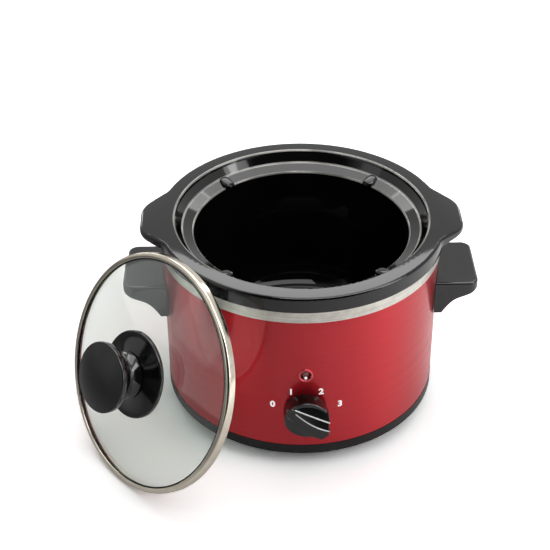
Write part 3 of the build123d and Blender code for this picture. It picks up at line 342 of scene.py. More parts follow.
# %% [markdown]
# ## Red lacquered steel
# The drum is one strip of brushed steel, lacquered in clear red and rolled round. The brush runs along
# the strip, so the scratches go round the drum as fine level lines. They spread a reflection up and
# down but keep it narrow sideways, which is why a lamp shows as one tall pale stripe. Under the clear
# coat the steel is a metal with a strong anisotropy. Its grain is drawn from noise stretched along the
# way round, measured in millimetres on the drum, so that it meets itself only at the seam at the back.
# Real brush marks are a tenth of a millimetre wide. Here the finest are half a millimetre, to show.

# %% Red lacquered steel
DRUM_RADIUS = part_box("housing_shell")[1][0]
FINE_MARK_MM = 0.5
BROAD_MARK_MM = 1.4
MARK_LENGTH_MM = 320.0

material, tree = new_material("red_lacquered_brushed_steel")
place = add(tree, "TexCoord").outputs["Object"]
axes = add(tree, "SeparateXYZ", {0: place})
behind = add(tree, "Math", {0: axes.outputs["Y"], 1: -1.0}, operation="MULTIPLY")
turn = add(tree, "Math", {0: axes.outputs["X"], 1: behind.outputs[0]}, operation="ARCTAN2")
along = add(tree, "Math", {
    0: turn.outputs[0], 1: DRUM_RADIUS / (MARK_LENGTH_MM * MM),
}, operation="MULTIPLY")


def brush_marks(width_mm, detail):
    """Level streaks of the given height, wandering slowly along the way round."""
    rise = add(tree, "Math", {0: axes.outputs["Z"], 1: 1 / (width_mm * MM)}, operation="MULTIPLY")
    spot = add(tree, "CombineXYZ", {"X": along.outputs[0], "Y": rise.outputs[0]})
    return add(tree, "TexNoise", {
        "Vector": spot.outputs[0], "Scale": 1.0, "Detail": detail,
    }, noise_dimensions="2D")


fine = brush_marks(FINE_MARK_MM, 3.0)
broad = brush_marks(BROAD_MARK_MM, 1.0)
marks = add(tree, "Mix", {0: 0.35, 2: fine.outputs[0], 3: broad.outputs[0]})
shade = add(tree, "MapRange", {"Value": marks.outputs[0], "From Min": 0.25, "From Max": 0.75})
red = add(tree, "Mix", {
    0: shade.outputs[0], 6: linear("#b91e29"), 7: linear("#cf232e"),
}, data_type="RGBA")
rough = add(tree, "MapRange", {"Value": shade.outputs[0], "To Min": 0.44, "To Max": 0.36})
scratch = add(tree, "Bump", {"Height": marks.outputs[0], "Distance": 0.006 * MM, "Strength": 0.5})
round_drum = add(tree, "Tangent", direction_type="RADIAL", axis="Z")
steel = add(tree, "BsdfPrincipled", {
    "Base Color": red.outputs[2], "Metallic": 0.82, "Roughness": rough.outputs[0],
    "Normal": scratch.outputs[0], "Tangent": round_drum.outputs[0],
    "Anisotropic": 0.8, "Anisotropic Rotation": 0.25,
    "Coat Weight": 0.55, "Coat Roughness": 0.03, "Coat IOR": 1.5,
})
wire_surface(tree, steel)
finishes["red_lacquered_steel"] = material
print("drum radius", round(DRUM_RADIUS / MM, 1), "mm")

# %% [markdown]
# ## Brushed aluminium
# The bright band under the crock's rim is brushed along its length too, but it is bare, so it is duller
# and paler than the drum: aluminium's own grey with fine level lines.

# %% Brushed aluminium
LINE_LENGTH, LINE_HEIGHT = 25 * MM, 0.7 * MM

material, tree = new_material("brushed_aluminium")
place = add(tree, "TexCoord").outputs["Object"]
stretch = add(tree, "Mapping", {
    "Vector": place, "Scale": (1 / LINE_LENGTH, 1 / LINE_LENGTH, 1 / LINE_HEIGHT),
})
lines = add(tree, "TexNoise", {"Vector": stretch.outputs[0], "Scale": 1.0, "Detail": 3.0})
blotch = add(tree, "TexNoise", {"Vector": place, "Scale": 1 / (5 * MM), "Detail": 2.0})
both = add(tree, "Mix", {0: 0.4, 2: lines.outputs[0], 3: blotch.outputs[0]})
shade = add(tree, "MapRange", {"Value": both.outputs[0], "From Min": 0.3, "From Max": 0.7})
grey = add(tree, "Mix", {
    0: shade.outputs[0], 6: linear("#c3c0b8"), 7: linear("#e9e6de"),
}, data_type="RGBA")
rough = add(tree, "MapRange", {"Value": shade.outputs[0], "To Min": 0.46, "To Max": 0.36})
round_band = add(tree, "Tangent", direction_type="RADIAL", axis="Z")
shader = add(tree, "BsdfPrincipled", {
    "Base Color": grey.outputs[2], "Metallic": 1.0, "Roughness": rough.outputs[0],
    "Anisotropic": 0.6, "Anisotropic Rotation": 0.25, "Tangent": round_band.outputs[0],
})
wire_surface(tree, shader)
finishes["brushed_aluminium"] = material
print("band colour", [round(c, 2) for c in linear("#e9e6de")[:3]])

# %% [markdown]
# ## Black glazed stoneware
# The crock is stoneware dipped in a glossy black glaze. The glaze is glass, so it has glass's index and
# is very smooth, but it pools and thins as it runs, so the surface is never quite even: a slow wave of
# a few centimetres and tiny pinholes. The edges of the mouth, the ledge and the crest get painted
# highlights, which are pale lines in the glaze's colour. They are found by radius and height, as points
# of the crock's profile. Inside the pot, scouring has dulled the glaze. The ring that the crock stands
# on in the kiln is wiped clean, and there the bare clay shows.

# %% Black glaze
WAVE_MM, PEEL_MM, PINHOLE_MM = 26, 4, 9

material, tree = new_material("black_glazed_stoneware")
place = add(tree, "TexCoord").outputs["Object"]
wave = add(tree, "TexNoise", {"Vector": place, "Scale": 1 / (WAVE_MM * MM), "Detail": 1.0})
peel = add(tree, "TexNoise", {"Vector": place, "Scale": 1 / (PEEL_MM * MM), "Detail": 2.0})
pits = add(tree, "TexVoronoi", {"Vector": place, "Scale": 1 / (PINHOLE_MM * MM)})
pinhole = add(tree, "MapRange", {"Value": pits.outputs["Distance"], "From Min": 0.02, "From Max": 0.06})
height = add(tree, "Math", {0: wave.outputs[0], 1: 12.0, 2: peel.outputs[0]}, operation="MULTIPLY_ADD")
height = add(tree, "Math", {
    0: pinhole.outputs[0], 1: 1.2, 2: height.outputs[0],
}, operation="MULTIPLY_ADD")
run = add(tree, "Bump", {"Height": height.outputs[0], "Distance": 0.006 * MM, "Strength": 0.7})
black = add(tree, "Mix", {
    0: wave.outputs[0], 6: linear("#050506"), 7: linear("#0b0b0c"),
}, data_type="RGBA")
print("glaze waves of", WAVE_MM, "mm")

# %% Painted highlights on the glaze's edges
CREST_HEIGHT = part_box("crock")[1][2]
HIGHLIGHT_EDGES = ((74.5, -11.5), (81.8, -7.8), (87.1, -0.5))   # radius and height above the crest, mm
HIGHLIGHT_WIDTH = 0.95

level = add(tree, "SeparateXYZ", {0: place})
around = add(tree, "VectorMath", {0: place, 1: (1, 1, 0)}, operation="MULTIPLY")
radius = add(tree, "VectorMath", {0: around.outputs[0]}, operation="LENGTH")
profile = add(tree, "CombineXYZ", {"X": radius.outputs["Value"], "Y": level.outputs["Z"]})
pale = None
# Each edge gets a pale line in the colour, which is a painted highlight.
for edge_radius, above in HIGHLIGHT_EDGES:
    edge = (edge_radius * MM, CREST_HEIGHT + above * MM, 0)
    near = add(tree, "VectorMath", {0: profile.outputs[0], 1: edge}, operation="DISTANCE")
    edge_highlight = add(tree, "MapRange", {
        "Value": near.outputs["Value"], "To Min": 1.0, "To Max": 0.0,
        "From Min": HIGHLIGHT_WIDTH * 0.75 * MM, "From Max": HIGHLIGHT_WIDTH * MM,
    }, interpolation_type="SMOOTHSTEP")
    pale = add(tree, "Math", {
        0: edge_highlight.outputs[0], 1: pale.outputs[0] if pale else 0.0,
    }, operation="MAXIMUM")
patchy = add(tree, "MapRange", {
    "Value": wave.outputs[0], "From Min": 0.35, "From Max": 0.6, "To Min": 0.45,
})
pale = add(tree, "Math", {0: pale.outputs[0], 1: patchy.outputs[0]}, operation="MULTIPLY")
glaze = add(tree, "Mix", {
    0: pale.outputs[0], 6: black.outputs[2], 7: linear("#aeaba6"),
}, data_type="RGBA")
print(len(HIGHLIGHT_EDGES), "pale edges below", round(CREST_HEIGHT / MM, 1), "mm")

# %% Bare clay, and the scoured pot
KILN_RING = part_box("crock")[0][2] + 1.2 * MM
SCOURED_RADIUS, NEW_RADIUS = 72, 74                         # between these the glaze turns glossy
SCOURED_SHINE, NEW_SHINE = 0.2, 0.5
NEW_COAT = 0.12

wiped = add(tree, "Math", {0: level.outputs["Z"], 1: KILN_RING}, operation="LESS_THAN")
colour = add(tree, "Mix", {
    0: wiped.outputs[0], 6: glaze.outputs[2], 7: linear("#b59f82"),
}, data_type="RGBA")
rough = add(tree, "MapRange", {"Value": wiped.outputs[0], "To Min": 0.06, "To Max": 0.8})
glossy = add(tree, "MapRange", {
    "Value": radius.outputs["Value"], "From Min": SCOURED_RADIUS * MM, "From Max": NEW_RADIUS * MM,
})
shine = add(tree, "Mix", {0: glossy.outputs[0], 2: SCOURED_SHINE, 3: NEW_SHINE})
coat = add(tree, "Mix", {0: glossy.outputs[0], 2: 0.0, 3: NEW_COAT})
shader = add(tree, "BsdfPrincipled", {
    "Base Color": colour.outputs[2], "Roughness": rough.outputs[0], "IOR": 1.52,
    "Normal": run.outputs[0], "Specular IOR Level": shine.outputs[0],
    "Coat Weight": coat.outputs[0], "Coat Roughness": 0.03,
})
wire_surface(tree, shader)
finishes["glazed_stoneware"] = material
print("bare clay below", round(KILN_RING / MM, 1), "mm")

# %% [markdown]
# ## Glass and bright steel of the lid
# The lid is tempered soda-lime glass. It has a faint green-grey colour, seen where one looks through
# its edge, and a skin that is not quite flat. The rim rolled round it is stainless steel, polished,
# with a warm cast. Rolling has drawn it out a little unevenly, so its tone and gloss drift.

# %% Clear glass
material, tree = new_material("tempered_glass")
place = add(tree, "TexCoord").outputs["Object"]
slow = add(tree, "TexNoise", {"Vector": place, "Scale": 1 / (45 * MM), "Detail": 1.0})
tint = add(tree, "Mix", {
    0: slow.outputs[0], 6: linear("#eef6f1"), 7: linear("#f5faf6"),
}, data_type="RGBA")
ripple = add(tree, "Bump", {"Height": slow.outputs[0], "Distance": 0.05 * MM, "Strength": 0.4})
glass = add(tree, "BsdfPrincipled", {
    "Base Color": tint.outputs[2], "Roughness": 0.0, "IOR": 1.5, "Transmission Weight": 1.0,
    "Normal": ripple.outputs[0],
})
wire_surface(tree, glass)
finishes["clear_glass"] = material
print("glass from", material.name)

# %% Rolled stainless steel
material, tree = new_material("rolled_stainless_steel")
place = add(tree, "TexCoord").outputs["Object"]
cloud = add(tree, "TexNoise", {"Vector": place, "Scale": 1 / (7 * MM), "Detail": 4.0})
warm = add(tree, "Mix", {
    0: cloud.outputs[0], 6: linear("#d8cdb8"), 7: linear("#efe9dc"),
}, data_type="RGBA")
rough = add(tree, "MapRange", {
    "Value": cloud.outputs[0], "From Min": 0.3, "From Max": 0.7, "To Min": 0.1, "To Max": 0.18,
})
shader = add(tree, "BsdfPrincipled", {
    "Base Color": warm.outputs[2], "Metallic": 1.0, "Roughness": rough.outputs[0],
})
wire_surface(tree, shader)
finishes["rolled_steel_rim"] = material
print("rim from", material.name)

# %% [markdown]
# ## Finishes inside the drum
# What is bolted inside is seen only when the cooker is taken apart, but a reusable part has it all:
# zinc-plated screws, the blank outer well, a bright heat shield, mica round the heating wire, ceramic,
# glass braid on the wires. Each is a base colour, a metal or not, and a cloud of a stated size.

# %% Inner finishes
def clouded(name, dark, light, metallic, roughness, cloud_mm, painted_glow=None):
    """A plain material whose tone and gloss drift over the given size, and which may get a painted glow.
    """
    material, tree = new_material(name)
    place = add(tree, "TexCoord").outputs["Object"]
    cloud = add(tree, "TexNoise", {"Vector": place, "Scale": 1 / (cloud_mm * MM), "Detail": 3.0})
    tone = add(tree, "Mix", {0: cloud.outputs[0], 6: linear(dark), 7: linear(light)}, data_type="RGBA")
    rough = add(tree, "MapRange", {
        "Value": cloud.outputs[0], "To Min": roughness * 0.8, "To Max": roughness * 1.2,
    })
    fleck = add(tree, "Bump", {"Height": cloud.outputs[0], "Distance": 0.01 * MM, "Strength": 0.5})
    sockets = {
        "Base Color": tone.outputs[2], "Metallic": metallic, "Roughness": rough.outputs[0],
        "Normal": fleck.outputs[0],
    }
    if painted_glow:
        sockets.update({"Emission Color": (1, 1, 1, 1), "Emission Strength": painted_glow})
    wire_surface(tree, add(tree, "BsdfPrincipled", sockets))
    return material


finishes["zinc_steel"] = clouded("zinc_plated_steel", "#a9adb0", "#cfd2d3", 1.0, 0.3, 2.0)
finishes["shield_aluminium"] = clouded("aluminised_steel", "#bcbcba", "#dededb", 1.0, 0.28, 6.0)
finishes["fuse_metal"] = clouded("tinned_copper", "#b9b6ae", "#d8d5cc", 1.0, 0.32, 1.5)
finishes["heater_mica"] = clouded("mica_board", "#a39a78", "#c9c1a2", 0.0, 0.6, 3.0)
finishes["block_ceramic"] = clouded("steatite_ceramic", "#ddd6c6", "#ece7da", 0.0, 0.4, 2.5)
finishes["wire_sleeve"] = clouded("glass_fibre_braid", "#c8c1ac", "#e3ddcb", 0.0, 0.85, 0.8)
finishes["lamp_glass"] = clouded("neon_lamp_glass", "#b98468", "#d3a083", 0.0, 0.08, 3.0)
print("seven inner finishes")

# %% [markdown]
# ## Red lens
# The pilot lamp's lens is clear red polycarbonate over a dark hole. It is off, so it shows mostly what
# it mirrors. It is kept as a glossy solid with part of the light let through.

# %% Red polycarbonate
material, tree = new_material("red_polycarbonate")
place = add(tree, "TexCoord").outputs["Object"]
depth = add(tree, "TexNoise", {"Vector": place, "Scale": 1 / (3 * MM), "Detail": 1.0})
tone = add(tree, "Mix", {
    0: depth.outputs[0], 6: linear("#7a2e2a"), 7: linear("#b5655e"),
}, data_type="RGBA")
shader = add(tree, "BsdfPrincipled", {
    "Base Color": tone.outputs[2], "Roughness": 0.06, "IOR": 1.58,
    "Transmission Weight": 0.35, "Coat Weight": 0.6,
})
wire_surface(tree, shader)
finishes["lamp_lens"] = material
print("lens from", material.name)

# %% Put the finishes on the solids
for part in frame["record"]["subparts"]:
    for slot in nodes[part["node"]].material_slots:
        slot.material = finishes[part["material_slot"]]
print(len(finishes), "finishes on", len(nodes), "solids")

# %% [markdown]
# ## Turned and printed pieces
# Most pieces of a cooker are round, so their meshes come from one outline turned about an axis, as on a
# lathe. A mesh made that way has its points exactly where the outline says, and reads smoothly with far
# fewer faces than a solid cut up by a general mesher. The outline is a list of radius and height in
# millimetres, with rounded stretches worked out as arcs.

# %% Arcs and meshes
def bend(centre, radius, start, end, steps=8):
    """Points along an arc, in degrees."""
    angles = [radians(start + (end - start) * i / steps) for i in range(steps + 1)]
    return [(centre[0] + radius * cos(a), centre[1] + radius * sin(a)) for a in angles]


def solid_mesh(form, name):
    """The form as a mesh, with all its faces turned outwards."""
    bmesh.ops.recalc_face_normals(form, faces=form.faces)
    mesh = bpy.data.meshes.new(name)
    form.to_mesh(mesh)
    form.free()
    return mesh


def finish_mesh(mesh, name, material, body, place, sharp=38):
    """Smooth the mesh, keep its hard edges, give it a material and let it ride on a body."""
    mesh.transform(place)
    for face in mesh.polygons:
        face.use_smooth = True
    mesh.set_sharp_from_angle(angle=radians(sharp))
    mesh.materials.append(material)
    piece = bpy.data.objects.new(name, mesh)
    bpy.context.scene.collection.objects.link(piece)
    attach(piece, body)
    return piece


print("a quarter bend has", len(bend((0, 0), 1, 0, 90)), "points")

# %% Turning
def turned(name, outline, material, body, place, steps=160, shift=None):
    """A closed outline of (radius, height) in mm, turned; shift(angle) moves its points inwards."""
    rows = []
    form = bmesh.new()
    for i in range(steps):
        angle = 2 * pi * i / steps
        sink = shift(angle) if shift else 0.0
        across, along = MM * cos(angle), MM * sin(angle)
        rows.append([
            form.verts.new(((r - sink) * across, (r - sink) * along, h * MM)) if r > 0 else None
            for r, h in outline
        ])
    poles = [form.verts.new((0, 0, h * MM)) if r <= 0 else None for r, h in outline]
    count = len(outline)
    for i, row in enumerate(rows):
        following = rows[(i + 1) % steps]
        for j in range(count):
            k = (j + 1) % count
            ring = [row[j], following[j], following[k], row[k]]
            if poles[j] and poles[k]:
                continue
            if poles[j]:
                ring = [poles[j], following[k], row[k]]
            elif poles[k]:
                ring = [row[j], following[j], poles[k]]
            form.faces.new(ring)
    return finish_mesh(solid_mesh(form, name), name, material, body, place)


def front_place(height_mm):
    """The frame of something fixed to the drum's front: X right, Y up, Z out of the drum."""
    return Matrix.Translation((0, -DRUM_RADIUS, height_mm * MM)) @ Matrix.Rotation(pi / 2, 4, "X")


joints = {joint["name"]: joint for joint in frame["record"]["behaviour"]["joints"]}
print("joints:", ", ".join(joints))

# %% [markdown]
# ## Rolled rim of the lid
# A strip of stainless steel is rolled round the glass. Its outer edge is a full round bead, and the leg
# on the glass ends in a small curl, so between them runs a shallow valley that mirrors the dark side of
# the room. Its two ends meet in a butt joint, which shows as a small nick. Inside the leg a thin dull
# black ring lies on the glass and makes the dark line there. The lid leans against the cooker, so the
# rim is turned about the lid's own axis, which is the line that the lid is lifted along.

# %% How the lid leans
lid_normal = Vector(joints["lid_pull_away"]["axis"]).normalized()
lid_low, lid_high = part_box("lid_rim")
lid_centre = (Vector(lid_low) + Vector(lid_high)) / 2
lid_across = Vector((0, 0, 1)).cross(lid_normal).normalized()
lid_up = lid_normal.cross(lid_across)
lid_place = Matrix((lid_across, lid_up, lid_normal)).transposed().to_4x4()
lid_place.translation = lid_centre
print("lid leans", round(degrees(lid_normal.angle(Vector((0, 0, 1))))), "degrees from level")

# %% Section of the rim
LID_RADIUS = 80.0
GLASS_EDGE_HEIGHT = 1.9
GLASS_RISE = 11.8
RIM_STEEL = 0.7                          # thickness of the strip
RIM_LEG = 3.7                            # width of the leg on the glass
BEAD_ROUND, BEAD_HEIGHT = 1.7, 2.2       # the strip's bend above the glass's edge
HEM_ROUND, HEM_HEIGHT = 1.2, -1.7        # and the bend below it
CURL_ROUND = 0.5

glass_radius = LID_RADIUS - RIM_STEEL
dome_radius = (glass_radius**2 + GLASS_RISE**2) / (2 * GLASS_RISE)


def glass_height(radius):
    """Height of the lid's glass above the rim's middle, at a radius."""
    return GLASS_EDGE_HEIGHT + GLASS_RISE - dome_radius + sqrt(dome_radius**2 - radius**2)


leg_foot = LID_RADIUS - RIM_LEG
curl = (leg_foot + CURL_ROUND, glass_height(leg_foot) + 0.62)
hem = (LID_RADIUS - HEM_ROUND, HEM_HEIGHT)
hem_low = HEM_HEIGHT - HEM_ROUND
rim_outline = (
    bend(curl, CURL_ROUND, 240, 84)
    + bend((LID_RADIUS - BEAD_ROUND, BEAD_HEIGHT), BEAD_ROUND, 84, 0, 10)
    + bend(hem, HEM_ROUND, 0, -90)
    + [(leg_foot, hem_low), (leg_foot, hem_low + RIM_STEEL)]
    + bend(hem, HEM_ROUND - RIM_STEEL, -90, 0, 4)
    + [(glass_radius, 1.6), (LID_RADIUS - 1.0, glass_height(LID_RADIUS - 1.0) + 0.1)]
)
print("rim's section has", len(rim_outline), "points")

# %% Rim and dark line
JOINT_BEARING = radians(-38)
JOINT_SINK = 0.35
JOINT_HALF_WIDTH = 1.6
DARK_LINE_WIDTH = 1.1


def joint_nick(angle):
    """How far the strip's two ends fall back at the joint."""
    away = (angle - JOINT_BEARING + pi) % (2 * pi) - pi
    return JOINT_SINK * max(0.0, 1 - abs(away) * LID_RADIUS / JOINT_HALF_WIDTH)


steel = finishes["rolled_steel_rim"]
rim = turned("rolled_lid_rim", rim_outline, steel, "lid", lid_place, 320, joint_nick)
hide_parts("lid_rim")

# A dull black ring on the glass, for the dark line between the steel and the glass.
dark_line_finish = moulded_skin("dull_black_ring", "#060606", "#0a0a0a", 0.5, 0.8, 0.01, 1.41)
dark_line_in, dark_line_out = leg_foot - DARK_LINE_WIDTH, leg_foot + 0.4
dark_line_outline = [
    (dark_line_in, glass_height(dark_line_in) + 0.03), (dark_line_in + 0.15, glass_height(dark_line_in) + 0.3),
    (dark_line_out, glass_height(dark_line_out) + 0.35), (dark_line_out, glass_height(dark_line_out) + 0.03),
]
dark_line_ring = turned("rim_dark_line_ring", dark_line_outline, dark_line_finish, "lid", lid_place, 240)
print("rim faces:", len(rim.data.polygons))

# %% [markdown]
# ## Lid knob
# The knob is a spool: a foot on the collar, a narrow neck for the fingers and a wide cap. The cap is
# almost flat on top and ends in a crisp edge, which catches a thin line of light. The cap's face is
# blasted and the rest is polished.

# %% Knob of the lid
CAP_RADIUS = 23.2
CAP_TOP = 46.6
CAP_EDGE_HEIGHT = 41.4                   # of the cap's widest line
CAP_EDGE_ROUND, CAP_EDGE_SINK = 0.9, 0.2
UNDERCUT_ROUND, UNDERCUT_HEIGHT = 4.6, 39.6
NECK_RADIUS, NECK_HEIGHT, NECK_ROUND = 13.0, 27.6, 9.0
FOOT_RADIUS = 15.1
FOOT_HEIGHT = 18.8

face_radius = CAP_RADIUS - CAP_EDGE_ROUND
face_rise = CAP_TOP - CAP_EDGE_HEIGHT - CAP_EDGE_ROUND + CAP_EDGE_SINK
face_dome = (face_radius**2 + face_rise**2) / (2 * face_rise)
face_span = degrees(atan2(face_radius, face_dome - face_rise))
knob_outline = (
    [(0, FOOT_HEIGHT), (FOOT_RADIUS - 0.4, FOOT_HEIGHT), (FOOT_RADIUS, FOOT_HEIGHT + 0.5)]
    + bend((NECK_RADIUS + NECK_ROUND, NECK_HEIGHT), NECK_ROUND, 227, 130, 14)
    + bend((CAP_RADIUS - UNDERCUT_ROUND, UNDERCUT_HEIGHT), UNDERCUT_ROUND, -72, -8, 8)
    + [(CAP_RADIUS, CAP_EDGE_HEIGHT - 0.6)]
    + bend((face_radius, CAP_EDGE_HEIGHT - CAP_EDGE_SINK), CAP_EDGE_ROUND, 5, 70, 4)
    + bend((0, CAP_TOP - face_dome), face_dome, 90 - face_span, 90 - face_span * 0.06, 16)
    + [(0, CAP_TOP)]
)
# Satin phenolic, blasted in the tool so that fingers don't show: an even dark grey, no mirror images.
satin_phenolic = moulded_skin("satin_phenolic", "#19191b", "#202022", 0.34, 1.6, 0.01, 1.42)
spool = turned("lid_spool_knob", knob_outline, finishes["handle_plastic"], "lid", lid_place)
spool.data.materials.append(satin_phenolic)
for face in spool.data.polygons:
    middle = lid_place.inverted() @ face.center
    if middle.z > (CAP_EDGE_HEIGHT + 0.5) * MM:
        face.material_index = 1
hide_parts("lid_knob")
print("cap face is a dome of", round(face_dome), "mm radius")

# %% [markdown]
# ## Lid rests
# Four small lugs stand on the crock's ledge and hold the lid a little off it, so that steam can leave.
# They are part of the crock and come out of the same glaze, which rounds them to soft pillows that hang
# a little over the mouth. Each is a closed form over a grid of two angles. A power below one pulls it
# from an egg towards a box, as far as a dipped lug is.

# %% Lid rests on the ledge
REST_ANGLE = 48                          # from the line through the crock's lugs, degrees
REST_CENTRE = Vector((77.2, 0, 135.6))
REST_SIZE = Vector((6.2, 4.3, 3.4))      # half lengths, outwards, along the ledge and up
REST_TILT = radians(-14)
REST_BOXINESS = 0.72


def swell(value):
    """A sine or cosine pulled towards a box's corner."""
    return abs(value) ** REST_BOXINESS * (1 if value >= 0 else -1)


form = bmesh.new()
for bearing in (REST_ANGLE, -REST_ANGLE, 180 + REST_ANGLE, 180 - REST_ANGLE):
    pillow = bmesh.ops.create_uvsphere(form, u_segments=32, v_segments=20, radius=1.0)["verts"]
    stand = Matrix.Rotation(radians(bearing), 4, "Z") @ Matrix.Translation(REST_CENTRE * MM)
    stand = stand @ Matrix.Rotation(REST_TILT, 4, "Y")
    for vert in pillow:
        around = atan2(vert.co.y, vert.co.x)
        girth = swell(hypot(vert.co.x, vert.co.y))
        shape = Vector((girth * swell(cos(around)), girth * swell(sin(around)), swell(vert.co.z)))
        vert.co = stand @ (shape * REST_SIZE * MM)
mesh = solid_mesh(form, "lid_rests")
rests = finish_mesh(mesh, "lid_rests", finishes["glazed_stoneware"], "crock", Matrix.Identity(4), 80)
print("lid rests:", len(mesh.polygons), "faces")

# %% [markdown]
# ## Heat control
# The control is a round knob with a tail, and a dimple and a dot mark the setting. Two long scoops run
# across its face to the right-hand side. Each is deepest at its top and rises towards the ridge below
# it, so the scoops mirror the unlit side of the room and look black, and only the ridges between them
# catch the light. The face is a height over a round grid, which suits a form that is mostly round. A
# grid can't follow a slanting crest cleanly, so each ridge is a strip of its own, laid along its line,
# with a narrow facet that leans back far enough to mirror the edge panel.

# %% Outline of the heat control
CONTROL_RADIUS = 14.7
CONTROL_SHIFT = (0.4, 0.8)               # of the round part, off the shaft
TAIL_SIDES = ((0, 16.1), (-50, 20.2), (-112, 11.4))   # bearing and distance of the tail's flat sides
TAIL_START, TAIL_FADE, TAIL_END = -85, 2, 24          # bearings of the tail, which fades before its end
TAIL_BLEND = 0.8                         # how softly the tail leaves the circle


def step(value, start, end):
    """Smooth step from 0 to 1."""
    share = min(1.0, max(0.0, (value - start) / (end - start)))
    return share * share * (3 - 2 * share)


def control_reach(angle):
    """Radius of the knob's outline, with the tail."""
    along = CONTROL_SHIFT[0] * cos(angle) + CONTROL_SHIFT[1] * sin(angle)
    circle = along + sqrt(CONTROL_RADIUS**2 - CONTROL_SHIFT[0]**2 - CONTROL_SHIFT[1]**2 + along**2)
    bearing = degrees((angle + pi) % (2 * pi) - pi)
    if not TAIL_START < bearing < TAIL_END:
        return circle
    sides = [distance / cos(angle - radians(facing)) for facing, distance in TAIL_SIDES
             if cos(angle - radians(facing)) > 0.05]
    beyond = max(0.0, min(sides) - circle) * (1 - step(bearing, TAIL_FADE, TAIL_END))
    return circle + beyond**2 / (beyond + TAIL_BLEND)


print("tail reaches", round(control_reach(radians(-30)), 1), "mm")

# %% Face of the heat control
FACE_HEIGHT, FACE_DOME, FACE_REACH = 12.0, 0.5, 20
SCOOP_SLOPE = 0.6
CREST_WIDTH, CREST_FALL = 0.5, 0.7
RIDGE_ABOVE, RIDGE_BELOW = 0.15, 0.25    # what a ridge keeps free of the scoops, on its two sides
UPPER_SLANT, LOWER_SLANT = 0.89, 0.8     # distance across a ridge, from the distance straight up
TAIL_LEAN = 0.12                         # fall of the tail's face beyond its fold
DIMPLE, DIMPLE_DEPTH = (-10.2, 5.4), 0.45
DOT, DOT_DEPTH = (-8.9, 1.9), 0.6


def upper_ridge(x):
    """The straight blade that crosses the face."""
    return 11.1 - 0.506 * (x + 9.7)


def lower_ridge(x):
    """The curved edge of the tail."""
    return -0.26 - 0.85 * x + 0.0183 * x * x


def scoop_top(x):
    """Upper end of the far scoop."""
    return 12.6 - 0.033 * (x - 0.4) ** 2


def tail_fold(x):
    """The line from which the tail's face leans back."""
    return -2.6 - 0.66 * (x + 7.3)


def plain_face(x, y):
    """Height of the slightly domed face, before anything is cut into it."""
    return FACE_HEIGHT + FACE_DOME * (1 - (hypot(x, y) / FACE_REACH) ** 2)


def control_face(x, y):
    """Height of the knob's face."""
    height = plain_face(x, y)
    over_upper = (y - upper_ridge(x)) * UPPER_SLANT
    over_lower = (y - lower_ridge(x)) * LOWER_SLANT
    if over_upper > RIDGE_ABOVE:
        inside = step(scoop_top(x) - y, -0.1, 0.5) * step(x, -9.0, -6.5)
        height -= (CREST_FALL + SCOOP_SLOPE * over_upper) * inside
    elif over_lower > RIDGE_ABOVE and over_upper < -RIDGE_BELOW:
        inside = step(-over_upper, RIDGE_BELOW, 0.7) * step(x, -8.0, -6.8)
        height -= (CREST_FALL + SCOOP_SLOPE * over_lower) * inside
    elif over_lower <= RIDGE_ABOVE:
        height -= TAIL_LEAN * max(0.0, tail_fold(x) - y)
    height -= DIMPLE_DEPTH * (1 - step(hypot(x - DIMPLE[0], y - DIMPLE[1]), 2.35, 2.7))
    height -= DOT_DEPTH * (1 - step(hypot(x - DOT[0], y - DOT[1]), 0.3, 0.8))
    return height


print("face at the shaft:", round(control_face(0, 0), 2), "mm")

# %% Body of the heat control
EDGE_WIDTH, EDGE_FALL, EDGE_DEPTH = 0.45, 0.62, 0.6
TAIL_LOW = 4.4
CONTROL_BACK = 0.6
HOLLOW_RADIUS, HOLLOW_HEIGHT = 10.5, 6.0
RINGS, SPOKES = 96, 320

form = bmesh.new()
rows = []
for i in range(SPOKES):
    angle = 2 * pi * i / SPOKES
    reach = control_reach(angle)
    spoke = []
    for j in range(1, RINGS + 1):
        r = (reach - EDGE_WIDTH) * j / RINGS
        spoke.append((r, control_face(r * cos(angle), r * sin(angle))))
    edge = spoke[-1][1] - EDGE_FALL
    spoke += [
        (reach, edge), (reach, edge - EDGE_DEPTH),
        (reach - 0.1, TAIL_LOW), (CONTROL_RADIUS - 0.2, TAIL_LOW - 0.8),
        (CONTROL_RADIUS, CONTROL_BACK + 0.4), (CONTROL_RADIUS - 0.4, CONTROL_BACK),
        (HOLLOW_RADIUS + 0.5, CONTROL_BACK), (HOLLOW_RADIUS, HOLLOW_HEIGHT),
    ]
    rows.append([form.verts.new(Vector((r * cos(angle), r * sin(angle), h)) * MM) for r, h in spoke])
face_middle = form.verts.new(Vector((0, 0, control_face(0, 0))) * MM)
hollow_middle = form.verts.new(Vector((0, 0, HOLLOW_HEIGHT)) * MM)
for i, row in enumerate(rows):
    following = rows[(i + 1) % SPOKES]
    form.faces.new([face_middle, row[0], following[0]])
    form.faces.new([hollow_middle, following[-1], row[-1]])
    for j in range(len(row) - 1):
        form.faces.new([row[j], row[j + 1], following[j + 1], following[j]])
print("body:", len(form.faces), "faces")

# %% Ridges of the heat control
STRIP_PARTS = 40
STRIP_SECTION = (                        # across the ridge, and up from its crest
    (-0.35, -0.12), (0.0, 0.0), (CREST_WIDTH, -CREST_FALL), (CREST_WIDTH + 0.2, -3.0), (-0.3, -3.0),
)
CREST_LIFT = 0.06
NEARBY = 0.01

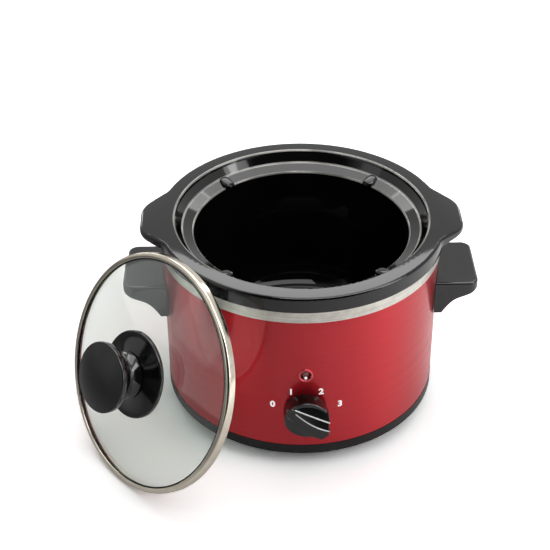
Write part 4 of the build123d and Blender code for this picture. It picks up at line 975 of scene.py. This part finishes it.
for line, start, end in ((upper_ridge, -9.6, 15.7), (lower_ridge, -7.2, 15.9)):
    sections = []
    for i in range(STRIP_PARTS + 1):
        x = start + (end - start) * i / STRIP_PARTS
        slope = (line(x + NEARBY) - line(x - NEARBY)) / (2 * NEARBY)
        across = Vector((-slope, 1, 0)).normalized()
        crest = Vector((x, line(x), plain_face(x, line(x)) + CREST_LIFT))
        sections.append([
            form.verts.new((crest + across * side + Vector((0, 0, rise))) * MM)
            for side, rise in STRIP_SECTION
        ])
    for here, there in zip(sections, sections[1:]):
        for j in range(len(here)):
            k = (j + 1) % len(here)
            facet = form.faces.new([here[j], here[k], there[k], there[j]])
            # The crest's facet gets the grey metal, a painted highlight.
            facet.material_index = 1 if j == 1 else 0
    form.faces.new(sections[0])
    form.faces.new(sections[-1])
print("with ridges:", len(form.faces), "faces")

# %% Heat control in its finishes
CONTROL_HEIGHT = joints["heat_control_turn"]["pos_m"][2] / MM

# The knob is moulded in ABS and left as it comes from a lightly polished tool. Its crests carry a
# painted highlight: a dark grey metal, bright only where it mirrors a lamp.
control_abs = moulded_skin("black_abs", "#0b0c0c", "#121313", 0.2, 3.0, 0.006, 1.54)
crest_painted_highlight = clouded("crest_painted_highlight", "#6a6a6a", "#868686", 1.0, 0.24, 1.0)
mesh = solid_mesh(form, "heat_control_knob")
control = finish_mesh(mesh, "heat_control_knob", control_abs, "control", front_place(CONTROL_HEIGHT), 24)
control.data.materials.append(crest_painted_highlight)
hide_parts("control_knob")
print("control at", round(CONTROL_HEIGHT, 1), "mm")

# %% [markdown]
# ## Pilot lamp
# The lamp sits in a hole whose edge is pressed outwards. The pressed ring is the drum's own lacquered
# steel and shines at its left and right, and its paler pink colour is a painted sheen. Inside it the
# lens is set back, so its upper part lies in the shade of the hole. A small white dome at the lens's
# foot is a painted glint.

# %% Pressed ring
LAMP_HEIGHT = 0.5 * (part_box("indicator_lens")[0][2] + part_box("indicator_lens")[1][2]) / MM
LAMP_STRETCH = (0.95, 1.08, 1, 1)        # the hole is a little taller than wide
RING_RADIUS, RING_ROUND, RING_FOOT = 4.35, 0.8, -0.3

lamp_place = front_place(LAMP_HEIGHT) @ Matrix.Diagonal(LAMP_STRETCH)

# The ring's lacquer is smoother than the drum's, and its paler pink colour is a painted sheen.
material, tree = new_material("red_lacquer_painted_sheen")
place = add(tree, "TexCoord").outputs["Object"]
ring_tone_cloud = add(tree, "TexNoise", {"Vector": place, "Scale": 1 / (1.5 * MM), "Detail": 2.0})
tone = add(tree, "Mix", {
    0: ring_tone_cloud.outputs[0], 6: linear("#cf3c44"), 7: linear("#f0707a"),
}, data_type="RGBA")
rough = add(tree, "MapRange", {"Value": ring_tone_cloud.outputs[0], "To Min": 0.14, "To Max": 0.26})
shader = add(tree, "BsdfPrincipled", {
    "Base Color": tone.outputs[2], "Metallic": 0.8, "Roughness": rough.outputs[0],
})
wire_surface(tree, shader)

ring_outline = bend((RING_RADIUS, 0.1), RING_ROUND, 180, 0, 10) + [
    (RING_RADIUS + RING_ROUND, RING_FOOT), (RING_RADIUS - RING_ROUND, RING_FOOT),
]
ring = turned("lamp_ring", ring_outline, material, "base", lamp_place, 72)
print("lamp at", round(LAMP_HEIGHT, 1), "mm")

# %% Lens and painted glint
LENS_RADIUS, LENS_SIDE, LENS_BACK = 3.9, -2.6, -4.0
LENS_DOME, LENS_TOP = 5.2, -0.7
GLINT_RADIUS, GLINT_DROP = 1.1, 2.7

lens_outline = (
    [(0, LENS_BACK), (LENS_RADIUS, LENS_BACK), (LENS_RADIUS, LENS_SIDE)]
    + bend((0, LENS_TOP - LENS_DOME), LENS_DOME, 42, 88, 14)
    + [(0, LENS_TOP)]
)
lens = turned("lamp_lens_window", lens_outline, finishes["lamp_lens"], "base", lamp_place, 72)
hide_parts("indicator_lens")

# White ink, printed through a screen. It has a painted glow: it gives off a little light, though it is
# no lamp.
ink_with_painted_glow = clouded("white_ink_painted_glow", "#f4f4f4", "#ffffff", 0.0, 0.5, 0.5, painted_glow=0.35)
# A small white dome low on the lens, in the glowing ink, is a painted glint.
glint_outline = (
    [(0, -GLINT_RADIUS), (GLINT_RADIUS, -GLINT_RADIUS)]
    + bend((0, -GLINT_RADIUS), GLINT_RADIUS, 10, 80, 6)
    + [(0, 0.0)]
)
glint_place = front_place(LAMP_HEIGHT - GLINT_DROP)
lens_glint = turned("lamp_lens_painted_glint", glint_outline, ink_with_painted_glow, "base", glint_place, 24)
print("lens", 2 * LENS_RADIUS, "mm across, drop", 2 * GLINT_RADIUS, "mm")

# %% [markdown]
# ## Printed dial
# The heat settings are plain numbers, printed round the control in the same white ink, which has a
# painted glow. Text is a curve in Blender. It is turned into a mesh, cut finely enough to bend, and
# wrapped onto the drum, a twentieth of a millimetre proud, which is a thick coat of screen ink.

# %% Numbers on the drum
NUMBER_SIZE = 6.6
NUMBER_WEIGHT = 0.26                     # added round each stroke
INK, INK_LIFT = 0.05, 0.01
CUT_LONGER = 1.2                         # edges longer than this are cut in three
NUMBER_PLACES = {"0": (-22.0, 55.4), "1": (-9.7, 67.1), "2": (10.3, 67.1), "3": (23.4, 54.6)}

for digit, (x, z) in NUMBER_PLACES.items():
    text = bpy.data.curves.new("digit", "FONT")
    text.body = digit
    text.size = NUMBER_SIZE * MM
    text.align_x, text.align_y = "CENTER", "CENTER"
    text.offset = NUMBER_WEIGHT * MM
    text.extrude = INK / 2 * MM
    holder = bpy.data.objects.new("digit_text", text)
    bpy.context.scene.collection.objects.link(holder)
    bpy.context.view_layer.update()
    mesh = bpy.data.meshes.new_from_object(holder.evaluated_get(bpy.context.evaluated_depsgraph_get()))
    bpy.data.objects.remove(holder)
    bpy.data.curves.remove(text)
    form = bmesh.new()
    form.from_mesh(mesh)
    bmesh.ops.remove_doubles(form, verts=form.verts, dist=1e-6)
    long_edges = [edge for edge in form.edges if edge.calc_length() > CUT_LONGER * MM]
    bmesh.ops.subdivide_edges(form, edges=long_edges, cuts=2)
    bmesh.ops.triangulate(form, faces=form.faces)
    for vert in form.verts:
        reach = DRUM_RADIUS + (INK / 2 + INK_LIFT) * MM + vert.co.z
        bearing = (x * MM + vert.co.x) / DRUM_RADIUS
        vert.co = Vector((reach * sin(bearing), -reach * cos(bearing), z * MM + vert.co.y))
    form.to_mesh(mesh)
    form.free()
    mesh.materials.clear()
    number = finish_mesh(mesh, f"dial_number_{digit}", ink_with_painted_glow, "base", Matrix.Identity(4), 30)
print("dial numbers:", " ".join(NUMBER_PLACES))
